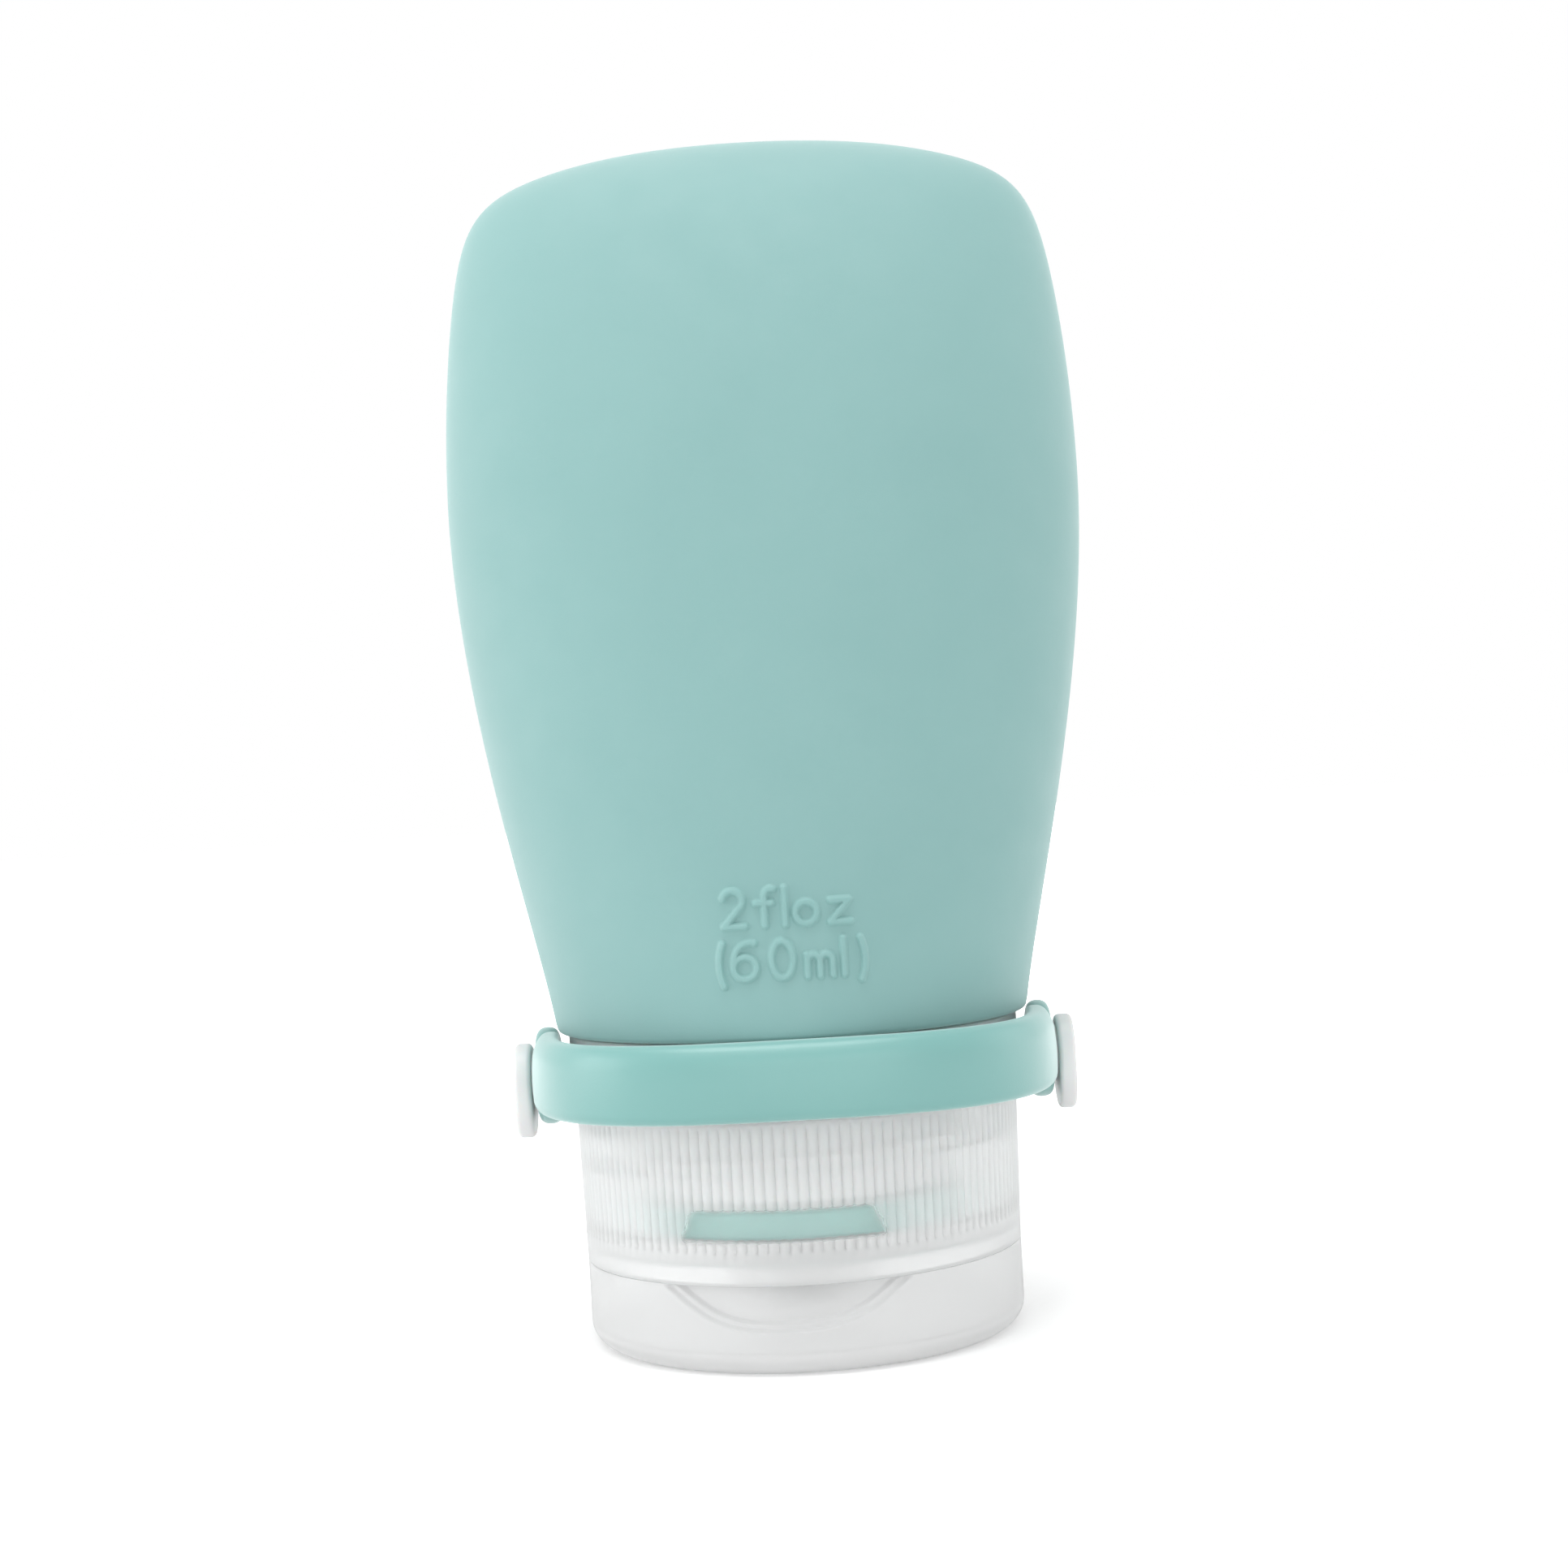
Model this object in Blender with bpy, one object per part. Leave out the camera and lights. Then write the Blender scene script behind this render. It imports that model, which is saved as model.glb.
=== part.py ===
"""Squeezable travel bottle that stands on its flip lid.

Frame: metres, +Z up, origin at the centre of the lid's flat face, front towards -Y.
Every length is a named value below, stacked up from the lid. Names that end in share are plain ratios.
"""
import math

import bmesh
import bpy
import numpy as np

# Whole bottle
FULL_TURN = 2.0 * math.pi
MILLILITRES_PER_CUBIC_METRE = 1.0e6

# Fits
FIT_GAP = 0.0003
RUN_GAP = 0.0003
CUT_OVERRUN = 0.0010

# Flip lid
LID_HEIGHT = 0.00675
LID_RADIUS = 0.0177
LID_WALL = 0.0013
LID_FLOOR = 0.0013
LID_ROUND = 0.0019
LID_INNER_ROUND = 0.0010
LID_RIM_EDGE = 0.0002
LID_ARC_COUNT = 5
SEAM_LEVEL = LID_HEIGHT + RUN_GAP / 2.0

# Thumb recess in the front of the lid
RECESS_DEPTH = 0.0032
RECESS_HALF_WIDTH = 0.0102
RECESS_CUT = 0.0008
RECESS_CURVE_SHARE = 3.0
RECESS_ROUND_SHARE = 1.5
RECESS_STATION_COUNT = 24

# Cap: ribbed skirt and deck
CAP_CLOCKING_DEGREES = -5.5
SKIRT_BOTTOM = LID_HEIGHT + RUN_GAP
SKIRT_FLARE = 0.0003
SKIRT_TOP_RADIUS = LID_RADIUS + SKIRT_FLARE
SKIRT_WALL = 0.0013
SKIRT_INNER_RADIUS = LID_RADIUS - SKIRT_WALL
SKIRT_EDGE = 0.0004
HEM_HEIGHT = 0.0023
RIB_BOTTOM_LEVEL = SEAM_LEVEL + HEM_HEIGHT
RIB_DEPTH = 0.00025
RIB_COUNT = 133
DECK_RISE = 0.0014
DECK_THICKNESS = 0.0014
DECK_ROOT = 0.0004
DECK_BOTTOM = SEAM_LEVEL + DECK_RISE
DECK_TOP = DECK_BOTTOM + DECK_THICKNESS
CAP_SEGMENT_COUNT = 56

# Silicone wall, lip and neck, stacked on the deck
WALL = 0.0017
LIP_LEVEL = DECK_TOP + RUN_GAP
LIP_HEIGHT = 0.0024
LIP_TOP = LIP_LEVEL + LIP_HEIGHT
LIP_CLEARANCE = 0.0005
LIP_RADIUS = SKIRT_INNER_RADIUS - LIP_CLEARANCE
LIP_ROUND = 0.0005
THREAD_ROOM = 0.0014
BARREL_WALL = 0.0013
BARREL_RADIUS = SKIRT_INNER_RADIUS - THREAD_ROOM
NECK_RADIUS = BARREL_RADIUS - BARREL_WALL - FIT_GAP
MOUTH_RADIUS = NECK_RADIUS - WALL

# Neck collar
BARREL_BOTTOM = LIP_TOP + FIT_GAP
BARREL_LENGTH = 0.0070
FLANGE_BOTTOM = BARREL_BOTTOM + BARREL_LENGTH
FLANGE_HEIGHT = 0.0054
FLANGE_TOP = FLANGE_BOTTOM + FLANGE_HEIGHT
FLANGE_STEP = 0.0003
FLANGE_RADIUS = SKIRT_TOP_RADIUS + FLANGE_STEP
FLANGE_WALL = 0.0012
FLANGE_EDGE = 0.0004
CORE_DEPTH = 0.0034
CORE_STEP = 0.0010
CORE_INNER_RADIUS = BARREL_RADIUS + CORE_STEP
CORE_OUTER_RADIUS = FLANGE_RADIUS - FLANGE_WALL
COLLAR_SEGMENT_COUNT = 60
SKIRT_TOP = FLANGE_BOTTOM - RUN_GAP
RIB_TAPER_SHARE = (RIB_BOTTOM_LEVEL - SEAM_LEVEL) / (SKIRT_TOP - SEAM_LEVEL)
RIB_BOTTOM_RADIUS = LID_RADIUS + RIB_TAPER_SHARE * SKIRT_FLARE

# Silicone bulb, seen from the front and from the side
SHOULDER_LEVEL = FLANGE_TOP + FIT_GAP
SHOULDER_OVERHANG = 0.0009
SHOULDER_RADIUS = FLANGE_RADIUS + SHOULDER_OVERHANG
SHOULDER_ROUND = 0.0008
WIDEST_RISE = 0.0426
WIDEST_LEVEL = SHOULDER_LEVEL + WIDEST_RISE
WIDEST_HALF_WIDTH = 0.02575
BODY_LENGTH = 0.0717
BODY_TOP_LEVEL = SHOULDER_LEVEL + BODY_LENGTH
RIDGE_HALF_WIDTH = 0.0080
CROWN_DROP = 0.0003
FLANK_RISE_SHARE = 1.2
FLANK_EASE_SHARE = 1.85
END_TAPER_SHARE = 0.14
END_CORNER_SHARE = 11.0
DEPTH_FALL_SHARE = 2.5
SECTION_POWER_SHARE = 2.0
SECTION_FILL_SHARE = 0.35
BODY_SEGMENT_COUNT = 48
OUTER_RING_COUNTS = (8, 12)
INNER_RING_COUNTS = (5, 8)

# Strap
STRAP_HEIGHT = 0.0056
STRAP_DROP = 0.0001
STRAP_TOP = SHOULDER_LEVEL - STRAP_DROP
STRAP_BOTTOM = STRAP_TOP - STRAP_HEIGHT
STRAP_THICKNESS = 0.0024
STRAP_STANDOFF = 0.0013
STRAP_REACH = SKIRT_TOP_RADIUS + STRAP_STANDOFF + STRAP_THICKNESS
STRAP_EDGE = 0.0005
STRAP_PLAN_SHARE = 2.75
EYE_THICKNESS = 0.0020
EYE_INNER_X = SHOULDER_RADIUS
STRAP_HALF_WIDTH = EYE_INNER_X + EYE_THICKNESS
EYE_RADIUS = 0.00395
EYE_DROP = 0.0005
EYE_LEVEL = STRAP_TOP - STRAP_HEIGHT / 2.0 - EYE_DROP
EYE_ROUND = 0.0008
LEG_START = 0.0012
LEG_LENGTH = 0.0042
STRAP_STATION_COUNT = 40
EYE_SEGMENT_COUNT = 32

# Side posts and their oblong heads
POST_DROP = 0.0004
POST_LEVEL = EYE_LEVEL - POST_DROP
POST_RADIUS = 0.0020
POST_SINK = 0.0005
HEAD_GAP = 0.00025
HEAD_INNER_X = STRAP_HALF_WIDTH + HEAD_GAP
HEAD_THICKNESS = 0.0014
HEAD_DROP = 0.00105
HEAD_LEVEL = POST_LEVEL - HEAD_DROP
HEAD_HALF_HEIGHT = 0.00385
HEAD_HALF_WIDTH = 0.0027
HEAD_EDGE = 0.0003
POST_SEGMENT_COUNT = 24

# Flow valve, its retainer and its pocket in the deck
VALVE_RADIUS = 0.0047
VALVE_FLANGE_THICKNESS = 0.0011
VALVE_DOME_DEPTH = 0.0012
VALVE_WALL = 0.0006
SLIT_WIDTH = 0.0003
SLIT_LENGTH = 0.0036
RETAINER_THICKNESS = 0.0012
RETAINER_WIDTH = 0.0013
RETAINER_SETBACK = 0.0002
POCKET_RADIUS = VALVE_RADIUS + FIT_GAP
RETAINER_BOTTOM = DECK_TOP - RETAINER_SETBACK - RETAINER_THICKNESS
VALVE_SEAT = RETAINER_BOTTOM - FIT_GAP - VALVE_FLANGE_THICKNESS
POCKET_FLOOR = VALVE_SEAT - FIT_GAP
VALVE_SEGMENT_COUNT = 32

# Nozzle, and the lid's plug that shuts it
NOZZLE_BORE_RADIUS = 0.0036
NOZZLE_WALL = 0.0014
NOZZLE_TIP_RADIUS = NOZZLE_BORE_RADIUS + NOZZLE_WALL
NOZZLE_BASE_RADIUS = POCKET_RADIUS + NOZZLE_WALL
NOZZLE_TIP_RISE = 0.0019
NOZZLE_TIP_LEVEL = LID_FLOOR + NOZZLE_TIP_RISE
NOZZLE_EDGE = 0.0004
VALVE_DOME_GAP = 0.0004
VALVE_DOME_RADIUS = NOZZLE_BORE_RADIUS - VALVE_DOME_GAP
PLUG_GAP = 0.0004
PLUG_RADIUS = NOZZLE_BORE_RADIUS - PLUG_GAP
PLUG_WALL = 0.0010
PLUG_REACH = 0.0012

# Window on the front of the skirt, level with the silicone lip behind it
WINDOW_LIFT = 0.0002
WINDOW_LEVEL = LIP_LEVEL + LIP_HEIGHT / 2.0 + WINDOW_LIFT
WINDOW_HALF_HEIGHT = 0.0012
WINDOW_HALF_WIDTH = 0.00725
WINDOW_SLANT = 0.0012
WINDOW_DEPTH = 0.00035
WINDOW_STATION_COUNT = 10

# Living hinge at the back of the seam
HINGE_INSET = 0.00035
HINGE_RADIUS = LID_RADIUS - HINGE_INSET
HINGE_HALF_WIDTH = 0.0042
WEB_THICKNESS = 0.0004
WEB_HALF_HEIGHT = 0.0013

# Thread: the cap drops by one lead a turn, and is clear of the neck after these turns
THREAD_LEAD = 0.003175
CLEARING_TURN_COUNT = 3


def clear_scene():
    """Removes whatever the file held before."""
    for thing in list(bpy.data.objects):
        bpy.data.objects.remove(thing, do_unlink=True)


def material(name, colour, roughness, transmission=0.0):
    """A Principled material with one colour and roughness; frosted plastics also let light through."""
    made = bpy.data.materials.new(name)
    made.use_nodes = True
    made.diffuse_color = (*colour, 1.0)
    shader = made.node_tree.nodes["Principled BSDF"]
    shader.inputs["Base Color"].default_value = (*colour, 1.0)
    shader.inputs["Roughness"].default_value = roughness
    shader.inputs["Metallic"].default_value = 0.0
    shader.inputs["Transmission Weight"].default_value = transmission
    return made


def new_object(name, mesh, finish, cutter=False):
    """Makes a finished bmesh an object, faces outward and round faces smooth."""
    bmesh.ops.recalc_face_normals(mesh, faces=mesh.faces)
    data = bpy.data.meshes.new(name)
    mesh.to_mesh(data)
    mesh.free()
    data.shade_smooth()
    data.set_sharp_from_angle(angle=math.radians(32.0))
    if finish:
        data.materials.append(finish)
    thing = bpy.data.objects.new(name, data)
    bpy.context.scene.collection.objects.link(thing)
    if cutter:
        thing.hide_render = True
        thing.display_type = "WIRE"
    return thing


def axis_empty(name, place, parent=None, turn=0.0):
    """An empty on a joint's axis; the pieces that move on that joint are its children."""
    empty = bpy.data.objects.new(name, None)
    bpy.context.scene.collection.objects.link(empty)
    empty.parent = parent
    empty.location = place
    empty.rotation_euler = (0.0, 0.0, turn)
    return empty


def hang(thing, empty):
    """Parents a piece, modelled in the frame of the empty's parent, to the empty."""
    thing.parent = empty
    thing.location = -empty.location


def boolean(target, tool, operation):
    """Joins the tool to the target or cuts it away, with the exact solver."""
    modifier = target.modifiers.new(operation.title(), "BOOLEAN")
    modifier.operation = operation
    modifier.solver = "EXACT"
    modifier.object = tool


def add_rows(mesh, rows):
    """Turns rows of points into rows of vertices."""
    return [[mesh.verts.new(tuple(point)) for point in row] for row in rows]


def bridge(mesh, lower, upper):
    """Joins two closed rings of the same count with four-sided faces."""
    count = len(lower)
    for index in range(count):
        after = (index + 1) % count
        mesh.faces.new((lower[index], lower[after], upper[after], upper[index]))


def fan_bridge(mesh, fine, coarse):
    """Joins a closed ring to one with half as many points."""
    for index in range(len(coarse)):
        first, middle = fine[2 * index], fine[2 * index + 1]
        after = fine[(2 * index + 2) % len(fine)]
        near, far = coarse[index], coarse[(index + 1) % len(coarse)]
        mesh.faces.new((first, middle, near))
        mesh.faces.new((middle, far, near))
        mesh.faces.new((middle, after, far))


def loft(rings, wrap=False, first_cap=False, last_cap=False):
    """Skins closed rings in order. A wrapped loft joins its last ring to its first."""
    mesh = bmesh.new()
    rows = add_rows(mesh, rings)
    for lower, upper in zip(rows, rows[1:]):
        bridge(mesh, lower, upper)
    if wrap:
        bridge(mesh, rows[-1], rows[0])
    if first_cap:
        mesh.faces.new(rows[0])
    if last_cap:
        mesh.faces.new(rows[-1])
    return mesh


def circle(radius, level, count):
    """Points of a level circle about the bottle's axis."""
    turn = np.arange(count) * FULL_TURN / count
    return np.column_stack((radius * np.cos(turn), radius * np.sin(turn), np.full(count, level)))


def turned(profile, count, wrap=True):
    """Turns (radius, level) points about Z: a wrapped profile gives a ring, an open one gets flat caps."""
    rings = [circle(radius, level, count) for radius, level in profile]
    return loft(rings, wrap=wrap, first_cap=not wrap, last_cap=not wrap)


def arc(centre, radius, start, end, count):
    """Points of an arc in the (radius, level) plane, angles in degrees."""
    turn = np.radians(np.linspace(start, end, count))
    return [(centre[0] + radius * math.cos(a), centre[1] + radius * math.sin(a)) for a in turn]


# Squeeze body


def flank_half_width(level, inset):
    """Half width between shoulder and widest level: a rise that eases out."""
    share = (level - SHOULDER_LEVEL) / (WIDEST_LEVEL - SHOULDER_LEVEL)
    eased = 1.0 - (1.0 - share ** FLANK_RISE_SHARE) ** FLANK_EASE_SHARE
    return SHOULDER_RADIUS + (WIDEST_HALF_WIDTH - SHOULDER_RADIUS) * eased - inset


def end_half_width(share, inset):
    """Half width above the widest level: a slight taper that turns in round a tight corner to the ridge."""
    flank = WIDEST_HALF_WIDTH * (1.0 - END_TAPER_SHARE * share ** 2)
    return RIDGE_HALF_WIDTH + (flank - inset - RIDGE_HALF_WIDTH) * math.sqrt(1.0 - share ** END_CORNER_SHARE)


def half_depth(share, inset):
    """Half depth: round at the shoulder, falling as one long curve to nothing at the ridge."""
    return (SHOULDER_RADIUS - inset) * math.sqrt(1.0 - share ** DEPTH_FALL_SHARE)


def body_ring(half_width, inset, level, crown):
    """One level oval of the body, round at the shoulder and fuller at its corners towards the end.

    The crown lets the last ovals sag towards their two ends.
    """
    rise = (level - SHOULDER_LEVEL) / (BODY_TOP_LEVEL - inset - SHOULDER_LEVEL)
    power = 2.0 / (SECTION_POWER_SHARE + SECTION_FILL_SHARE * rise)
    turn = np.arange(BODY_SEGMENT_COUNT) * FULL_TURN / BODY_SEGMENT_COUNT
    across = half_width * np.sign(np.cos(turn)) * np.abs(np.cos(turn)) ** power
    deep = half_depth(rise, inset) * np.sign(np.sin(turn)) * np.abs(np.sin(turn)) ** power
    sag = crown * (across / RIDGE_HALF_WIDTH) ** 2
    return np.column_stack((across, deep, level - sag))


def body_rings(inset, floor_level, ring_counts):
    """Ovals from just above the shoulder to just under the ridge, for the outer or the inner wall."""
    lower_count, upper_count = ring_counts
    top = BODY_TOP_LEVEL - inset
    rings = []
    for level in np.linspace(floor_level, WIDEST_LEVEL, lower_count):
        rings.append(body_ring(flank_half_width(level, inset), inset, level, 0.0))
    for step in range(1, upper_count + 1):
        share = math.sin(0.25 * FULL_TURN * step / (upper_count + 1))
        level = WIDEST_LEVEL + share * (top - WIDEST_LEVEL)
        crown = CROWN_DROP * share ** END_CORNER_SHARE
        rings.append(body_ring(end_half_width(share, inset), inset, level, crown))
    return rings


def ring_area(ring):
    """Area inside one level oval."""
    after = np.roll(ring, -1, axis=0)
    return 0.5 * abs(float(np.sum(ring[:, 0] * after[:, 1] - after[:, 0] * ring[:, 1])))


def hollow_volume(rings):
    """What the bulb holds, from the areas of its inner ovals."""
    areas = [ring_area(ring) for ring in rings]
    levels = [float(ring[:, 2].max()) for ring in rings]
    return sum(0.5 * (low + high) * (upper - lower)
               for low, high, lower, upper in zip(areas, areas[1:], levels, levels[1:]))


def close_on_ridge(mesh, ring, top):
    """Closes an oval on a short ridge, where each front point meets the back point opposite it."""
    half = BODY_SEGMENT_COUNT // 2
    ridge = []
    for index in range(half + 1):
        across = RIDGE_HALF_WIDTH * math.cos(index * FULL_TURN / BODY_SEGMENT_COUNT)
        sag = CROWN_DROP * (across / RIDGE_HALF_WIDTH) ** 2
        ridge.append(mesh.verts.new((across, 0.0, top - sag)))
    folded = [ridge[min(index, BODY_SEGMENT_COUNT - index)] for index in range(BODY_SEGMENT_COUNT)]
    bridge(mesh, ring, folded)


def neck_rings():
    """Rings from the outer shoulder down the neck, round the lip and up the bore to the inner floor."""
    shoulder_centre = (SHOULDER_RADIUS - SHOULDER_ROUND, SHOULDER_LEVEL + SHOULDER_ROUND)
    lip_centre = LIP_RADIUS - LIP_ROUND
    profile = arc(shoulder_centre, SHOULDER_ROUND, 0.0, -90.0, 4)
    profile += [(NECK_RADIUS, SHOULDER_LEVEL), (NECK_RADIUS, LIP_TOP)]
    profile += arc((lip_centre, LIP_TOP - LIP_ROUND), LIP_ROUND, 90.0, 0.0, 2)
    profile += arc((lip_centre, LIP_LEVEL + LIP_ROUND), LIP_ROUND, 0.0, -90.0, 2)
    profile += [(MOUTH_RADIUS, LIP_LEVEL), (MOUTH_RADIUS, SHOULDER_LEVEL + WALL)]
    return [circle(radius, level, BODY_SEGMENT_COUNT) for radius, level in profile]


def squeeze_body(finish):
    """The hollow silicone moulding: bulb, shoulder, neck and the rolled lip that seals on the deck."""
    outer = body_rings(0.0, SHOULDER_LEVEL + 2.0 * SHOULDER_ROUND, OUTER_RING_COUNTS)
    inner = body_rings(WALL, SHOULDER_LEVEL + 2.0 * WALL, INNER_RING_COUNTS)
    mesh = loft(outer[::-1] + neck_rings() + inner)
    mesh.verts.ensure_lookup_table()
    first = mesh.verts[:BODY_SEGMENT_COUNT]
    last = mesh.verts[-BODY_SEGMENT_COUNT:]
    close_on_ridge(mesh, first, BODY_TOP_LEVEL)
    close_on_ridge(mesh, last, BODY_TOP_LEVEL - WALL)
    print("the bulb holds about", round(hollow_volume(inner) * MILLILITRES_PER_CUBIC_METRE, 1), "ml")
    return new_object("squeeze_body", mesh, finish)


# Neck collar


def collar_ring():
    """Threaded barrel and flange, cored out from below as a moulding of even wall."""
    core_top = FLANGE_BOTTOM + CORE_DEPTH
    inner = NECK_RADIUS + FIT_GAP
    profile = [
        (inner, BARREL_BOTTOM),
        (BARREL_RADIUS - FLANGE_EDGE, BARREL_BOTTOM),
        (BARREL_RADIUS, BARREL_BOTTOM + FLANGE_EDGE),
        (BARREL_RADIUS, FLANGE_BOTTOM),
        (CORE_INNER_RADIUS, FLANGE_BOTTOM),
        (CORE_INNER_RADIUS, core_top),
        (CORE_OUTER_RADIUS, core_top),
        (CORE_OUTER_RADIUS, FLANGE_BOTTOM),
        (FLANGE_RADIUS - FLANGE_EDGE, FLANGE_BOTTOM),
        (FLANGE_RADIUS, FLANGE_BOTTOM + FLANGE_EDGE),
        (FLANGE_RADIUS, FLANGE_TOP - FLANGE_EDGE),
        (FLANGE_RADIUS - FLANGE_EDGE, FLANGE_TOP),
        (inner, FLANGE_TOP),
    ]
    return turned(profile, COLLAR_SEGMENT_COUNT)


def oblong(across, inset):
    """Points of the upright oblong head at one distance from the bottle's axis."""
    radius = HEAD_HALF_WIDTH - inset
    straight = HEAD_HALF_HEIGHT - HEAD_HALF_WIDTH
    turn = (np.arange(POST_SEGMENT_COUNT) + 0.5) * FULL_TURN / POST_SEGMENT_COUNT
    lift = np.where(np.sin(turn) > 0.0, straight, -straight)
    level = HEAD_LEVEL + lift + radius * np.sin(turn)
    return np.column_stack((np.full(POST_SEGMENT_COUNT, across), radius * np.cos(turn), level))


def round_post(across):
    """Points of the round post at one distance from the bottle's axis."""
    turn = (np.arange(POST_SEGMENT_COUNT) + 0.5) * FULL_TURN / POST_SEGMENT_COUNT
    level = POST_LEVEL + POST_RADIUS * np.sin(turn)
    return np.column_stack((np.full(POST_SEGMENT_COUNT, across), POST_RADIUS * np.cos(turn), level))


def side_post(name, side):
    """One post with its head, a single turned and squared-off piece that the strap's eyelet snaps over."""
    outer = HEAD_INNER_X + HEAD_THICKNESS
    rings = [
        round_post(FLANGE_RADIUS - POST_SINK),
        round_post(HEAD_INNER_X),
        oblong(HEAD_INNER_X, HEAD_EDGE),
        oblong(HEAD_INNER_X + HEAD_EDGE, 0.0),
        oblong(outer - HEAD_EDGE, 0.0),
        oblong(outer, HEAD_EDGE),
    ]
    for ring in rings:
        ring[:, 0] *= side
    return new_object(name, loft(rings, first_cap=True, last_cap=True), None, cutter=True)


def neck_collar(finish):
    """The rigid ring on the silicone neck, with a post and head on either side."""
    collar = new_object("neck_collar", collar_ring(), finish)
    boolean(collar, side_post("left_post_form", -1.0), "UNION")
    boolean(collar, side_post("right_post_form", 1.0), "UNION")
    return collar


# Strap


def strap_plan(turn, inset):
    """A point of the strap's plan curve, a squared oval about the bottle's axis, on its front half."""
    power = 2.0 / STRAP_PLAN_SHARE
    across = (STRAP_HALF_WIDTH - inset) * math.copysign(abs(math.cos(turn)) ** power, math.cos(turn))
    return across, -(STRAP_REACH - inset) * math.sin(turn) ** power


def turn_at_depth(depth):
    """The angle at which the plan curve has come this far forward of the posts."""
    return math.asin((depth / STRAP_REACH) ** (STRAP_PLAN_SHARE / 2.0))


def strap_section(turn):
    """The band's cross-section at one place, a tall rectangle with its corners eased."""
    inner = np.array(strap_plan(turn, STRAP_THICKNESS))
    outer = np.array(strap_plan(turn, 0.0))
    ease = STRAP_EDGE / STRAP_THICKNESS
    corners = [(ease, STRAP_BOTTOM), (1.0 - ease, STRAP_BOTTOM), (1.0, STRAP_BOTTOM + STRAP_EDGE),
               (1.0, STRAP_TOP - STRAP_EDGE), (1.0 - ease, STRAP_TOP), (ease, STRAP_TOP),
               (0.0, STRAP_TOP - STRAP_EDGE), (0.0, STRAP_BOTTOM + STRAP_EDGE)]
    return [(*(inner + share * (outer - inner)), level) for share, level in corners]


def strap_run(start, end, count):
    """The band between two angles of its plan curve."""
    sections = [strap_section(turn) for turn in np.linspace(start, end, count)]
    return loft(sections, first_cap=True, last_cap=True)


def eye_ring(across, radius, level, side):
    """A ring of the eyelet, about the post or about the eyelet's own centre."""
    turn = np.arange(EYE_SEGMENT_COUNT) * FULL_TURN / EYE_SEGMENT_COUNT
    side_x = np.full(EYE_SEGMENT_COUNT, side * across)
    return np.column_stack((side_x, radius * np.cos(turn), level + radius * np.sin(turn)))


def strap_eye(name, side, finish):
    """One eyelet that turns on its post, with the root of the band in front of it."""
    hole = POST_RADIUS + RUN_GAP
    rings = [
        eye_ring(EYE_INNER_X, hole, POST_LEVEL, side),
        eye_ring(EYE_INNER_X, EYE_RADIUS - EYE_ROUND, EYE_LEVEL, side),
        eye_ring(EYE_INNER_X + EYE_ROUND, EYE_RADIUS, EYE_LEVEL, side),
        eye_ring(STRAP_HALF_WIDTH - EYE_ROUND, EYE_RADIUS, EYE_LEVEL, side),
        eye_ring(STRAP_HALF_WIDTH, EYE_RADIUS - EYE_ROUND, EYE_LEVEL, side),
        eye_ring(STRAP_HALF_WIDTH, hole, POST_LEVEL, side),
    ]
    eye = new_object(name, loft(rings, wrap=True), finish)
    start = turn_at_depth(hole + LEG_START)
    end = turn_at_depth(LEG_LENGTH)
    if side < 0.0:
        start, end = math.pi - start, math.pi - end
    leg = new_object(name + "_leg_form", strap_run(start, end, 3), None, cutter=True)
    boolean(eye, leg, "UNION")
    return eye, leg


def strap(left_name, right_name, band_name, finish, empty):
    """The strap is one silicone moulding. It is cut at its two roots, so that its band can be drawn out."""
    start = turn_at_depth(LEG_LENGTH + FIT_GAP)
    band = new_object(band_name, strap_run(start, math.pi - start, STRAP_STATION_COUNT), finish)
    for thing in (*strap_eye(left_name, -1.0, finish), *strap_eye(right_name, 1.0, finish), band):
        hang(thing, empty)


# Cap


def ribbed_circle(radius, level):
    """A circle whose points go out and in by turns, two to a rib."""
    turn = np.arange(2 * RIB_COUNT) * FULL_TURN / (2 * RIB_COUNT)
    reach = np.where(np.arange(2 * RIB_COUNT) % 2 == 0, radius, radius - RIB_DEPTH)
    return np.column_stack((reach * np.cos(turn), reach * np.sin(turn), np.full(2 * RIB_COUNT, level)))


def cap_skirt():
    """The outer wall of the cap, with its ribs drawn in as grooves between a plain hem and the top edge."""
    mesh = bmesh.new()
    hem_profile = [
        (SKIRT_INNER_RADIUS, SKIRT_BOTTOM),
        (LID_RADIUS - SKIRT_EDGE, SKIRT_BOTTOM),
        (LID_RADIUS, SKIRT_BOTTOM + SKIRT_EDGE),
        (RIB_BOTTOM_RADIUS, RIB_BOTTOM_LEVEL),
    ]
    hem = add_rows(mesh, [circle(radius, level, RIB_COUNT) for radius, level in hem_profile])
    for lower, upper in zip(hem, hem[1:]):
        bridge(mesh, lower, upper)
    ribs = add_rows(mesh, [ribbed_circle(RIB_BOTTOM_RADIUS, RIB_BOTTOM_LEVEL + RIB_DEPTH),
                           ribbed_circle(SKIRT_TOP_RADIUS, SKIRT_TOP - SKIRT_EDGE)])
    fan_bridge(mesh, ribs[0], hem[-1])
    bridge(mesh, ribs[0], ribs[1])
    rim_profile = [(SKIRT_TOP_RADIUS - SKIRT_EDGE, SKIRT_TOP), (SKIRT_INNER_RADIUS, SKIRT_TOP)]
    rim = add_rows(mesh, [circle(radius, level, RIB_COUNT) for radius, level in rim_profile])
    fan_bridge(mesh, ribs[1], rim[0])
    bridge(mesh, rim[0], rim[1])
    bridge(mesh, rim[1], hem[0])
    return mesh


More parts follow.
